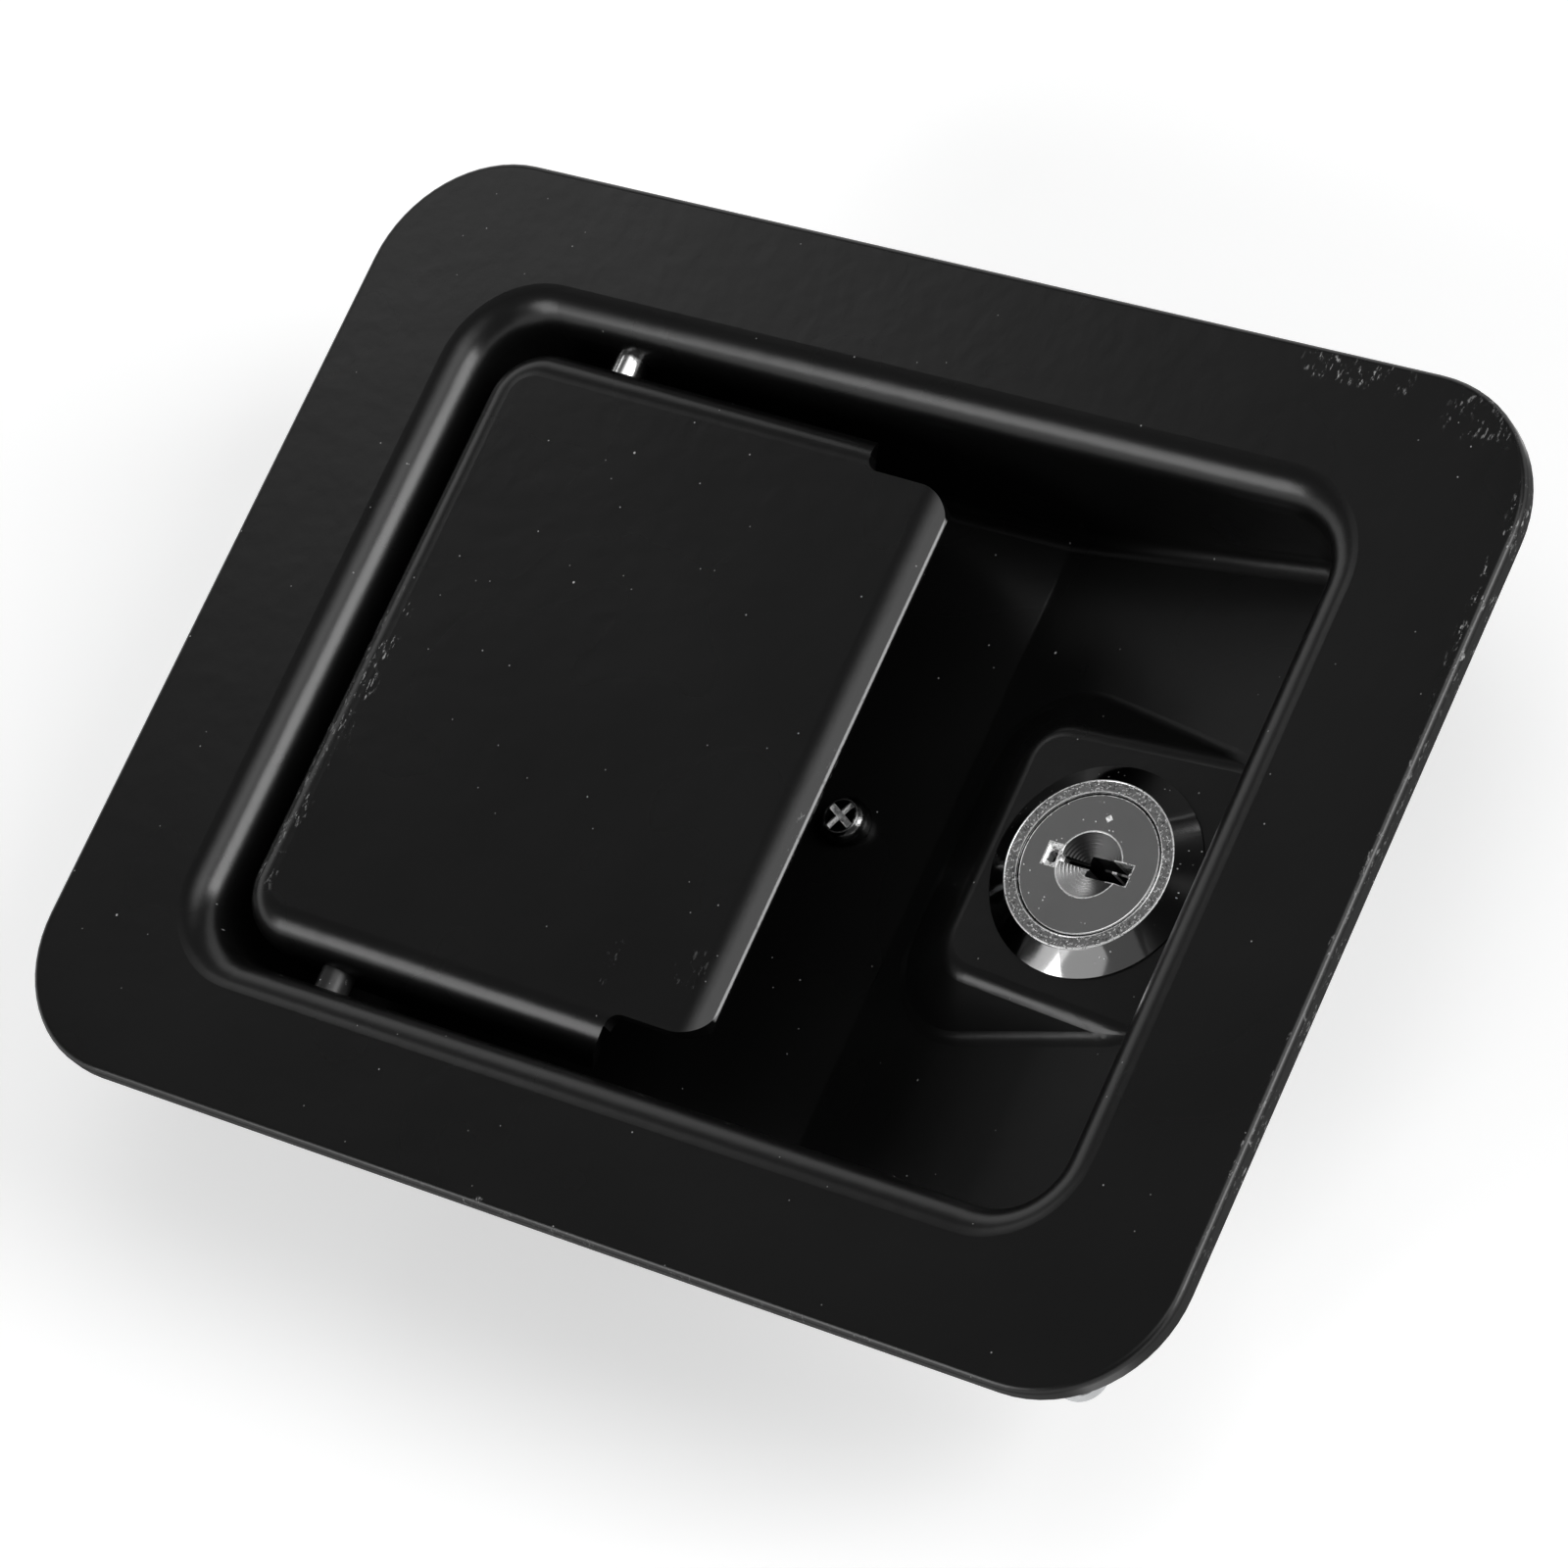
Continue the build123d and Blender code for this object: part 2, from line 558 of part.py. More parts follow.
def latch_bolt():
    """The cast bolt: a slanted head and a lower shank that carries the slide."""
    slant = (BOLT_HEAD_HEIGHT - BOLT_TIP) / tan(radians(BOLT_SLANT))
    outline = Polyline(
        (BOLT_NOSE_X, SLIDE_TOP),
        (BOLT_SHOULDER_X, SLIDE_TOP),
        (BOLT_SHOULDER_X, SLIDE_UNDER),
        (BOLT_REAR_X, SLIDE_UNDER),
        (BOLT_REAR_X, BOLT_UNDER),
        (BOLT_NOSE_X + slant, BOLT_UNDER),
        (BOLT_NOSE_X, SLIDE_TOP - BOLT_TIP),
        close=True,
    )
    bolt = across(make_face(outline), BOLT_WIDTH)
    bolt = fillet(bolt.edges().filter_by(Axis.Y).group_by(Axis.X)[0], BOLT_EDGE)
    bolt = chamfer(bolt.edges().filter_by(Axis.Z).group_by(Axis.X)[0], BOLT_EDGE)
    peg = Rot(0, 90, 0) * extrude(Circle(SPRING_PEG), SPRING_PEG_LENGTH)
    peg = chamfer(peg.faces().sort_by(Axis.X)[-1].edges(), SPRING_PEG_CHAMFER)
    for x in bolt_rivet_xs():
        bolt -= bolt_rivet(x, 0.0)
    return bolt + Pos(BOLT_REAR_X, 0, spring_z()) * peg


def bolt_rivet_xs():
    """X of the two rivets between the slide and the bolt's shank."""
    middle = (BOLT_SHOULDER_X + BOLT_REAR_X) / 2
    return (middle - BOLT_RIVET_SPACING / 2, middle + BOLT_RIVET_SPACING / 2)


def bolt_rivet(x, gap):
    """A countersunk rivet, flush with the top of the slide."""
    neck = SLIDE_TOP - BOLT_RIVET_SINK
    head = extrude(Circle(RIVET_RADIUS - gap), BOLT_RIVET_SINK, taper=-45)
    shank = cylinder(RIVET_RADIUS - gap, SLIDE_UNDER - BOLT_RIVET_DEPTH, neck, x)
    return Pos(x, 0, neck) * head + shank


def slide_plate():
    """The strip that joins the bolt to the lever, and ends in a lug for the lock's cam."""
    left = BOLT_SHOULDER_X
    end = SLIDE_END - SLIDE_SHEET - SLIDE_BEND_FLAT
    plan = RectangleRounded(end - left, SLIDE_WIDTH, SLIDE_CORNER)
    plan = Pos((left + end) / 2, 0) * plan
    window_left = PIN_X + LEVER_LEG_NEAR - TRAVEL - DRIVE_GAP
    window_right = PIN_X + LEVER_LEG_FAR + DRIVE_GAP
    window_width = LEVER_SHEET + 2 * WINDOW_ROOM
    window = RectangleRounded(window_right - window_left, window_width, WINDOW_CORNER)
    for y in leg_centres():
        plan -= Pos((window_left + window_right) / 2, y) * window
    slot = SlotCenterToCenter(TRAVEL, 2 * (GUIDE_BUSH_RADIUS + GUIDE_SLOT_ROOM))
    plan -= Pos(GUIDE_X - TRAVEL / 2, 0) * slot
    plate = extrude(Plane.XY.offset(SLIDE_UNDER) * plan, SLIDE_SHEET)

    level = SLIDE_TOP - SLIDE_SHEET / 2
    path = FilletPolyline(
        (end - BEND_OVERLAP, level),
        (SLIDE_END - SLIDE_SHEET / 2, level),
        (SLIDE_END - SLIDE_SHEET / 2, SLIDE_UNDER - SLIDE_LUG_HEIGHT),
        radius=SLIDE_SHEET / 2 + SLIDE_LUG_BEND,
    )
    lug = across(trace(path, SLIDE_SHEET), SLIDE_LUG_WIDTH)
    plate += Pos(0, LUG_TOP_Y - SLIDE_LUG_WIDTH / 2, 0) * lug
    for x in bolt_rivet_xs():
        plate -= bolt_rivet(x, 0.0)
    return plate


def bolt_rivets():
    """The two rivets that hold the slide to the bolt."""
    return Compound(children=[bolt_rivet(x, PRESSED) for x in bolt_rivet_xs()])


def housing_y():
    """Half width of the housing's inside."""
    return SLIDE_WIDTH / 2 + SLIDE_PLAY


def channel(half_width, bottom, length, bend):
    """A block from the pan's back down to BOTTOM, with its two lower edges rounded."""
    middle = (HOUSING_FLANGE_ENDS[1] + HOUSING_FRONT_X) / 2
    block = box(
        (middle - length / 2, middle + length / 2),
        (-half_width, half_width),
        (bottom, FLOOR_BACK),
    )
    return fillet(block.edges().filter_by(Axis.X).group_by(Axis.Z)[0], bend)


def slide_housing():
    """The pressed channel that guides the bolt, riveted behind the pan's floor."""
    inner = housing_y()
    outer = inner + HOUSING_SHEET
    bottom = HOUSING_FLOOR - HOUSING_SHEET
    length = HOUSING_FLANGE_ENDS[1] - HOUSING_FRONT_X
    outside = channel(outer, bottom, length, HOUSING_BEND + HOUSING_SHEET)
    inside = channel(inner, HOUSING_FLOOR, 2 * length, HOUSING_BEND)
    left, right = HOUSING_FLANGE_ENDS
    wings = RectangleRounded(right - left, 2 * (outer + HOUSING_FLANGE), HOUSING_CORNER)
    wings = Pos((left + right) / 2, 0) * wings
    wings = extrude(Plane.XY.offset(FLOOR_BACK - HOUSING_SHEET) * wings, HOUSING_SHEET)
    body = outside + wings - inside

    half = HOUSING_TAB_WIDTH / 2
    behind = HOUSING_TAB_X + HOUSING_SHEET
    top = spring_z() + BOLT_SPRING_RADIUS
    tab = box((HOUSING_TAB_X, behind), (-half, half), (bottom, top))
    lanced = box(
        (behind, behind + TAB_CUT),
        (-half - TAB_CUT_ROOM, half + TAB_CUT_ROOM),
        (bottom - PAST, HOUSING_FLOOR + PAST),
    )
    body = body - lanced + tab
    for x, y in rivet_places():
        body -= cylinder(RIVET_RADIUS + PRESSED, bottom, FLOOR_BACK + PAST, x, y)
    return body


def domed(radius, bottom, top, x, y, upward):
    """A rivet's head: a disc with its outer rim rounded."""
    disc = cylinder(radius, bottom, top, x, y)
    rim = disc.faces().sort_by(Axis.Z)[-1 if upward else 0].edges()
    return fillet(rim, RIVET_DOME)


def housing_rivets():
    """Four domed rivets through the pan's floor and the housing's flanges."""
    rivets = []
    back = FLOOR_BACK - HOUSING_SHEET
    end = back - RIVET_HEAD_HEIGHT
    for x, y in rivet_places():
        shank = cylinder(RIVET_RADIUS, end, FLOOR, x, y)
        head = domed(RIVET_HEAD, FLOOR, FLOOR + RIVET_HEAD_HEIGHT, x, y, True)
        tail = domed(RIVET_TAIL, end, back, x, y, False)
        rivets.append(shank + head + tail)
    return Compound(children=rivets)


def guide_screw():
    """Cross-recess pan head screw through the floor, which guides the slide's rear end."""
    end = guide_stack_end() - NUT_HEIGHT - GUIDE_TAIL
    top = FLOOR + GUIDE_HEAD_HEIGHT
    head = cylinder(GUIDE_HEAD_RADIUS, FLOOR, top, GUIDE_X)
    head = fillet(head.faces().sort_by(Axis.Z)[-1].edges(), GUIDE_HEAD_DOME)
    long, short = GUIDE_CROSS
    cross = Rectangle(long, short) + Rectangle(short, long)
    recess = extrude(cross, -GUIDE_CROSS_DEPTH, taper=GUIDE_CROSS_TAPER)
    shank = cylinder(GUIDE_RADIUS, end, FLOOR, GUIDE_X)
    shank = chamfer(shank.faces().sort_by(Axis.Z)[0].edges(), GUIDE_TIP)
    return head + shank - Pos(GUIDE_X, 0, top) * Rot(0, 0, GUIDE_CROSS_TURN) * recess


def guide_stack_end():
    """Level of the washer's underside."""
    return SLIDE_UNDER - SLIDE_PLAY - WASHER_THICKNESS


def ring(outer, inner, bottom, top, x):
    """A round bar with a hole through it."""
    return cylinder(outer, bottom, top, x) - cylinder(inner, bottom - PAST, top + PAST, x)


def guide_bush():
    """The spacer that the slide's slot runs on."""
    low = SLIDE_UNDER - SLIDE_PLAY
    return ring(GUIDE_BUSH_RADIUS, GUIDE_RADIUS + NUT_ROOM, low, FLOOR_BACK, GUIDE_X)


def guide_washer():
    """The washer that holds the slide up."""
    low = guide_stack_end()
    return ring(WASHER_RADIUS, GUIDE_RADIUS + SCREW_ROOM, low, low + WASHER_THICKNESS, GUIDE_X)


def hexagon_nut(flats, hole, bottom, height, x):
    """A plain hexagon nut with its corners cut back at both faces."""
    corner = flats / sqrt(3)
    nut = extrude(Plane.XY.offset(bottom) * Rot(0, 0, 30) * RegularPolygon(corner, 6), height)
    disc = extrude(Plane.XY.offset(bottom) * Circle(corner), height)
    along, rise = NUT_CHAMFER
    disc = chamfer(disc.edges().filter_by(GeomType.CIRCLE), along * corner, rise * corner)
    bore = cylinder(hole, bottom - PAST, bottom + height + PAST)
    return Pos(x, 0, 0) * (nut & disc - bore)


def guide_nut():
    """The locking nut on the guide screw."""
    low = guide_stack_end() - NUT_HEIGHT
    return hexagon_nut(NUT_FLATS, GUIDE_RADIUS + PRESSED, low, NUT_HEIGHT, GUIDE_X)


def lock_barrel():
    """The lock's body: a coned collar on the boss and a threaded body with two flats."""
    collar = Pos(LOCK_X, 0, BOSS_TOP) * loft([
        Circle(COLLAR_RADIUS),
        Pos(0, 0, COLLAR_HEIGHT) * Circle(COLLAR_FACE_RADIUS),
    ])
    body = extrude(Plane.XY.offset(LOCK_END) * lock_outline(), BOSS_TOP - LOCK_END)
    face = BOSS_TOP + COLLAR_HEIGHT
    radius = PLUG_RADIUS + RUNNING
    barrel = collar + body - cylinder(radius, LOCK_END - PAST, face + PAST, LOCK_X)
    bore_ends = barrel.edges().filter_by(GeomType.CIRCLE).group_by(Axis.Z)[-1]
    return chamfer(bore_ends.sort_by(SortBy.LENGTH)[0], PLUG_BORE_CHAMFER)


def lock_nut():
    """The thin hexagon nut that clamps the lock to the boss."""
    low = BOSS_UNDER - LOCK_NUT_HEIGHT
    return hexagon_nut(LOCK_NUT_FLATS, LOCK_RADIUS + NUT_ROOM, low, LOCK_NUT_HEIGHT, LOCK_X)


def wafer_levels():
    """Underside of each wafer, from the front backwards."""
    first = BOSS_TOP - WAFER_FIRST
    return [first - WAFER_PITCH * i for i in range(WAFER_COUNT)]


def lock_plug():
    """The turning plug, with a dished face, a keyway, wafer slots and a square tail."""
    face = BOSS_TOP + COLLAR_HEIGHT - PLUG_SUNK
    plug = cylinder(PLUG_RADIUS, LOCK_END, face, LOCK_X)
    plug = chamfer(plug.faces().sort_by(Axis.Z)[-1].edges(), PLUG_BORE_CHAMFER)
    tail = Pos(LOCK_X, 0) * Rectangle(PLUG_DRIVE, PLUG_DRIVE)
    plug += extrude(Plane.XY.offset(DRIVE_END) * tail, LOCK_END - DRIVE_END)
    plug -= Pos(LOCK_X, 0, face - PLUG_DISH_DEPTH) * loft([
        Circle(PLUG_DISH_FLAT),
        Pos(0, 0, PLUG_DISH_DEPTH) * Circle(PLUG_DISH_RADIUS),
    ])
    keyway = RectangleRounded(KEYWAY_LENGTH, KEYWAY_WIDTH, KEYWAY_CORNER)
    plug -= Pos(LOCK_X, 0, face - KEYWAY_DEPTH) * extrude(keyway, KEYWAY_DEPTH + PAST)
    plug -= cylinder(INDEX_RADIUS, face - INDEX_DEPTH, face + PAST, LOCK_X, INDEX_Y)
    for level in wafer_levels():
        x, y, z = (size / 2 + WAFER_ROOM for size in WAFER_SIZE)
        middle = level + WAFER_SIZE[2] / 2
        plug -= box((LOCK_X - x, LOCK_X + x), (-y, y), (middle - z, middle + z))
    tapped = cylinder(CAM_SCREW_RADIUS, DRIVE_END - PAST, DRIVE_END + CAM_SCREW_DEPTH, LOCK_X)
    return plug - tapped


def lock_wafers():
    """Flat wafers in the plug, each with a window for the key."""
    width = KEYWAY_WIDTH + WAFER_WINDOW_ROOM
    window = RectangleRounded(KEYWAY_LENGTH, width, WAFER_WINDOW_CORNER)
    plate = extrude(Rectangle(WAFER_SIZE[0], WAFER_SIZE[1]) - window, WAFER_SIZE[2])
    return Compound(children=[Pos(LOCK_X, 0, level) * plate for level in wafer_levels()])


def lock_cam():
    """The hooked cam on the plug's tail, drawn at rest, pointing along +Y."""
    half = CAM_WIDTH / 2
    neck = CAM_NECK / 2
    beyond = CAM_REACH + PAST
    arm = make_face(Polyline(
        (half, 0),
        (half, beyond),
        (-half, beyond),
        (-half, CAM_REACH - CAM_HOOK),
        (-neck, CAM_REACH - CAM_HOOK - CAM_HOOK_SLOPE),
        (-neck, 0),
        close=True,
    ))
    square = PLUG_DRIVE + 2 * CAM_SQUARE_ROOM
    outline = Circle(CAM_HUB) + (arm & Circle(CAM_REACH)) - Rectangle(square, square)
    return Pos(LOCK_X, 0, DRIVE_END) * extrude(outline, CAM_SHEET)


def cam_washer():
    """The spring washer under the cam's screw."""
    low = DRIVE_END - CAM_WASHER_THICKNESS
    return ring(CAM_WASHER_RADIUS, CAM_SCREW_RADIUS + WASHER_ROOM, low, DRIVE_END, LOCK_X)


def cam_screw():
    """The screw that holds the cam on the plug."""
    seat = DRIVE_END - CAM_WASHER_THICKNESS
    end = seat - CAM_SCREW_HEAD_HEIGHT
    tip = DRIVE_END + CAM_SCREW_DEPTH - CAM_SCREW_TIP_ROOM
    head = cylinder(CAM_SCREW_HEAD, end, seat, LOCK_X)
    head = fillet(head.faces().sort_by(Axis.Z)[0].edges(), CAM_SCREW_DOME)
    width, depth = CAM_SCREW_SLOT
    across_head = CAM_SCREW_HEAD + PAST
    slot = box(
        (LOCK_X - across_head, LOCK_X + across_head),
        (-width / 2, width / 2),
        (end - PAST, end + depth),
    )
    return head + cylinder(CAM_SCREW_RADIUS - PRESSED, seat, tip, LOCK_X) - slot


NODES = {
    "pan": pan,
    "mounting_studs": mounting_studs,
    "hinge_pin": hinge_pin,
    "pin_clip": pin_clip,
    "paddle": paddle,
    "paddle_lever": paddle_lever,
    "slide_housing": slide_housing,
    "housing_rivets": housing_rivets,
    "latch_bolt": latch_bolt,
    "slide_plate": slide_plate,
    "bolt_rivets": bolt_rivets,
    "bolt_spring": bolt_spring,
    "guide_screw": guide_screw,
    "guide_bush": guide_bush,
    "guide_washer": guide_washer,
    "guide_nut": guide_nut,
    "lock_barrel": lock_barrel,
    "lock_nut": lock_nut,
    "lock_plug": lock_plug,
    "lock_wafers": lock_wafers,
    "lock_cam": lock_cam,
    "cam_washer": cam_washer,
    "cam_screw": cam_screw,
}

os.makedirs("parts", exist_ok=True)
for name, make in NODES.items():
    export_step(make(), f"parts/{name}.step")
print(f"bolt travel {TRAVEL:.3f} mm, ratio {TRAVEL / 1000 / radians(PADDLE_OPEN):.6f} m/rad")
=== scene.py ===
"""Recessed paddle latch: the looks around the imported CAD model, in metres."""
import json
from math import cos, pi, radians, sin

import bmesh
import bpy
from mathutils import Matrix, Vector

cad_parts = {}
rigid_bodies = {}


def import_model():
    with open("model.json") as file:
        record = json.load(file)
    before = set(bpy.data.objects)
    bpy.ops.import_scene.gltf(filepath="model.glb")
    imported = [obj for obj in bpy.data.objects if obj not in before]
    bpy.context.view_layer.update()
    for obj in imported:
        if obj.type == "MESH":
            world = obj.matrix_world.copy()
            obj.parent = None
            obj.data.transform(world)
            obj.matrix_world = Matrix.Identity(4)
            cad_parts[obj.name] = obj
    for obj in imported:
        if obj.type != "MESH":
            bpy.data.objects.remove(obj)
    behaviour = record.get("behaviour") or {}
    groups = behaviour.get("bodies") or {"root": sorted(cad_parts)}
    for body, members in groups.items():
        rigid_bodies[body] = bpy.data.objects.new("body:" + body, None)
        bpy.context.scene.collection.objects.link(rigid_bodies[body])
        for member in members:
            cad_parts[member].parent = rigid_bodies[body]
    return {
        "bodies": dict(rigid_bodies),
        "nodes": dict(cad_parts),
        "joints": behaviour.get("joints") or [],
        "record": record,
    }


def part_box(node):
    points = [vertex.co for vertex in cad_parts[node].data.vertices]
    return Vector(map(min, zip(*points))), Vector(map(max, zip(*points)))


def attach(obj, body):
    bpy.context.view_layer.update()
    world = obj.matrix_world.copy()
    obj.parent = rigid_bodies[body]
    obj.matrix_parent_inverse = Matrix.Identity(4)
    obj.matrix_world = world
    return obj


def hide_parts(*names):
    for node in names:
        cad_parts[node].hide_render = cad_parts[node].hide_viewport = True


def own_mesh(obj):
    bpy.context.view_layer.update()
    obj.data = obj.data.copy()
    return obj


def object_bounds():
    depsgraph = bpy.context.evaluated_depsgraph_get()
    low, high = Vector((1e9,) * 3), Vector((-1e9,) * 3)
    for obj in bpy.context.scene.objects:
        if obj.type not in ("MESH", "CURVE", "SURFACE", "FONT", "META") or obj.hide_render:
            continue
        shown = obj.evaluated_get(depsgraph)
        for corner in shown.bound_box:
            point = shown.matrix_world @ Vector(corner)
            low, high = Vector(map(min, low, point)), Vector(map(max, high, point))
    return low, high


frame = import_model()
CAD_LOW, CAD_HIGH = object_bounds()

MM = 0.001
SCENE = bpy.context.scene
SCENE.view_settings.view_transform = "Standard"
NODES = frame["nodes"]


# ------------------------------------------------------------------ camera and light
def camera():
    """The photograph's own place and roll, from the latch's calibrated rectangle."""
    data = bpy.data.cameras.new("camera")
    data.lens = 137.43
    data.sensor_width = 36
    data.clip_start = 0.01
    data.clip_end = 50
    cam = bpy.data.objects.new("camera", data)
    SCENE.collection.objects.link(cam)
    right = Vector((0.8107, 0.4100, -0.4179)).normalized()
    back = Vector((0.5355, -0.2306, 0.8125)).normalized()
    up = back.cross(right).normalized()
    right = up.cross(back)
    place = Matrix((right, up, back)).transposed().to_4x4()
    place.translation = Vector((322.69, -140.21, 481.59)) * MM
    cam.matrix_world = place
    SCENE.camera = cam


def softbox(name, toward, distance, size, radiance, aim=(0, 0, 0)):
    """A rectangular lamp in the direction TOWARD, with the radiance that it shows."""
    data = bpy.data.lights.new(name, "AREA")
    data.shape = "RECTANGLE"
    data.size, data.size_y = size
    data.energy = radiance * pi * size[0] * size[1]
    lamp = bpy.data.objects.new(name, data)
    SCENE.collection.objects.link(lamp)
    place = Vector(toward).normalized() * distance
    lamp.location = place + Vector(aim)
    lamp.rotation_mode = "QUATERNION"
    lamp.rotation_quaternion = place.to_track_quat("Z", "Y")
    lamp.visible_camera = False
    return lamp


class Net:
    """A material's or a world's node tree, with short calls for the nodes used here."""

    def __init__(self, tree):
        self.tree = tree
        tree.nodes.clear()

    def add(self, kind, **values):
        node = self.tree.nodes.new(kind)
        for key, value in values.items():
            setattr(node, key, value)
        return node

    def put(self, socket, value):
        """Joins a socket to a node's output, or sets its value."""
        if isinstance(value, bpy.types.NodeSocket):
            self.tree.links.new(value, socket)
        elif value is not None:
            socket.default_value = value

    def math(self, operation, a, b=None, c=None, clamp=False):
        node = self.add("ShaderNodeMath", operation=operation, use_clamp=clamp)
        for socket, value in zip(node.inputs, (a, b, c)):
            self.put(socket, value)
        return node.outputs[0]

    def vector(self, operation, a, b=None, output=0, scale=None):
        node = self.add("ShaderNodeVectorMath", operation=operation)
        self.put(node.inputs[0], a)
        if b is not None:
            self.put(node.inputs[1], b)
        if scale is not None:
            self.put(node.inputs["Scale"], scale)
        return node.outputs[output]

    def place(self):
        return self.add("ShaderNodeTexCoord").outputs["Object"]

    def noise(self, vector, scale, detail=2.0, roughness=0.5, output="Fac"):
        node = self.add("ShaderNodeTexNoise")
        self.put(node.inputs["Vector"], vector)
        self.put(node.inputs["Scale"], scale)
        self.put(node.inputs["Detail"], detail)
        self.put(node.inputs["Roughness"], roughness)
        return node.outputs[output]

    def cells(self, vector, scale, output="Distance", sides="3D"):
        node = self.add("ShaderNodeTexVoronoi", voronoi_dimensions=sides)
        self.put(node.inputs["Vector"], vector)
        self.put(node.inputs["Scale"], scale)
        return node.outputs[output]

    def step(self, value, low, high, to_low=0.0, to_high=1.0):
        """A smooth climb from TO_LOW to TO_HIGH as the value goes from LOW to HIGH."""
        node = self.add("ShaderNodeMapRange", interpolation_type="SMOOTHSTEP")
        names = ("Value", "From Min", "From Max", "To Min", "To Max")
        for key, item in zip(names, (value, low, high, to_low, to_high)):
            self.put(node.inputs[key], item)
        return node.outputs[0]

    def mix(self, factor, a, b):
        """A mix of two colours."""
        node = self.add("ShaderNodeMix", data_type="RGBA")
        self.put(node.inputs[0], factor)
        self.put(node.inputs[6], grey(a))
        self.put(node.inputs[7], grey(b))
        return node.outputs[2]

    def blend(self, factor, a, b):
        """A mix of two numbers."""
        node = self.add("ShaderNodeMix", data_type="FLOAT")
        for socket, value in zip((node.inputs[0], node.inputs[2], node.inputs[3]), (factor, a, b)):
            self.put(socket, value)
        return node.outputs[0]

    def bump(self, height, distance, strength=1.0, normal=None):
        node = self.add("ShaderNodeBump")
        self.put(node.inputs["Height"], height)
        self.put(node.inputs["Distance"], distance)
        self.put(node.inputs["Strength"], strength)
        self.put(node.inputs["Normal"], normal)
        return node.outputs[0]

    def split(self, vector):
        node = self.add("ShaderNodeSeparateXYZ")
        self.put(node.inputs[0], vector)
        return node.outputs

    def scaled(self, vector, scale, turn=(0, 0, 0), move=(0, 0, 0)):
        node = self.add("ShaderNodeMapping")
        self.put(node.inputs["Vector"], vector)
        node.inputs["Scale"].default_value = scale
        node.inputs["Rotation"].default_value = turn
        node.inputs["Location"].default_value = move
        return node.outputs[0]

    def surface(self, shader, kind="ShaderNodeOutputMaterial"):
        self.put(self.add(kind).inputs["Surface"], shader)


def grey(value):
    """A colour from a number, a triple or a socket."""
    if isinstance(value, (int, float)):
        return (value, value, value, 1)
    if isinstance(value, tuple) and len(value) == 3:
        return (*value, 1)
    return value


def material(name):
    made = bpy.data.materials.new(name)
    made.use_nodes = True
    return made, Net(made.node_tree)


def principled(net, **sockets):
    """A Principled shader; names with underscores stand for its sockets."""
    node = net.add("ShaderNodeBsdfPrincipled")
    for key, value in sockets.items():
        name = key.replace("_", " ")
        if name in ("Base Color", "Coat Tint", "Sheen Tint"):
            value = grey(value)
        net.put(node.inputs[name], value)
    net.surface(node.outputs[0])
    return node


def rays(net):
    """1 for what the camera, metal or glass shows, and 0 for light on the object."""
    path = net.add("ShaderNodeLightPath").outputs
    seen = net.math("MAXIMUM", path["Is Camera Ray"], path["Is Glossy Ray"])
    return net.math("MAXIMUM", seen, path["Is Transmission Ray"])


def disc(name, radius, level):
    mesh = bpy.data.meshes.new(name)
    form = bmesh.new()
    bmesh.ops.create_circle(form, cap_ends=True, segments=96, radius=radius)
    form.to_mesh(mesh)
    form.free()
    made = bpy.data.objects.new(name, mesh)
    made.location.z = level
    SCENE.collection.objects.link(made)
    return made


CEILING = 1.5
CEILING_LIGHT = 0.13
CEILING_PANELS = (
    ((-1.34, 0.78), 0.40, 3.0),
    ((0.50, 0.40), 0.85, 3.0),
)


def studio():
    """A white floor, a dim ceiling that keeps the coat black, and soft boxes."""
    world = bpy.data.worlds.new("studio")
    world.use_nodes = True
    SCENE.world = world
    net = Net(world.node_tree)
    sky = net.add("ShaderNodeBackground")
    sky.inputs["Color"].default_value = (1, 1, 1, 1)
    net.put(sky.inputs["Strength"], net.blend(rays(net), 0.30, 1.0))
    net.surface(sky.outputs[0], "ShaderNodeOutputWorld")

    floor = disc("floor", 6.0, CAD_LOW.z - 0.0005)
    made, net = material("floor_paint")
    base = net.add("ShaderNodeBsdfDiffuse")
    base.inputs["Color"].default_value = (0.84, 0.84, 0.84, 1)
    glow = net.add("ShaderNodeEmission")
    net.put(glow.inputs["Strength"], net.math("MULTIPLY", rays(net), 0.42))
    total = net.add("ShaderNodeAddShader")
    net.put(total.inputs[0], base.outputs[0])
    net.put(total.inputs[1], glow.outputs[0])
    clear = net.add("ShaderNodeBsdfTransparent")
    sided = net.add("ShaderNodeMixShader")
    net.put(sided.inputs[0], net.add("ShaderNodeNewGeometry").outputs["Backfacing"])
    net.put(sided.inputs[1], total.outputs[0])
    net.put(sided.inputs[2], clear.outputs[0])
    net.surface(sided.outputs[0])
    floor.data.materials.append(made)

    ceiling = disc("ceiling", 3.2, CEILING)
    made, net = material("ceiling_cloth")
    level = CEILING_LIGHT
    for centre, spread, strength in CEILING_PANELS:
        away = net.vector("DISTANCE", net.place(), (*centre, 0), output="Value")
        level = net.math("ADD", level, net.step(away, spread, 0, 0, strength))
    dim = net.add("ShaderNodeEmission")
    net.put(dim.inputs["Strength"], level)
    net.surface(dim.outputs[0])
    ceiling.data.materials.append(made)

    softbox("box_hinge_side", (-0.45, -0.68, 0.58), 1.3, (0.45, 0.6), 5.2)
    softbox("box_lock_side", (0.80, 0.23, 0.55), 1.3, (0.5, 0.7), 8.5)
    softbox("card_near", (-0.05, -0.86, 0.50), 1.3, (0.8, 0.35), 0.45)


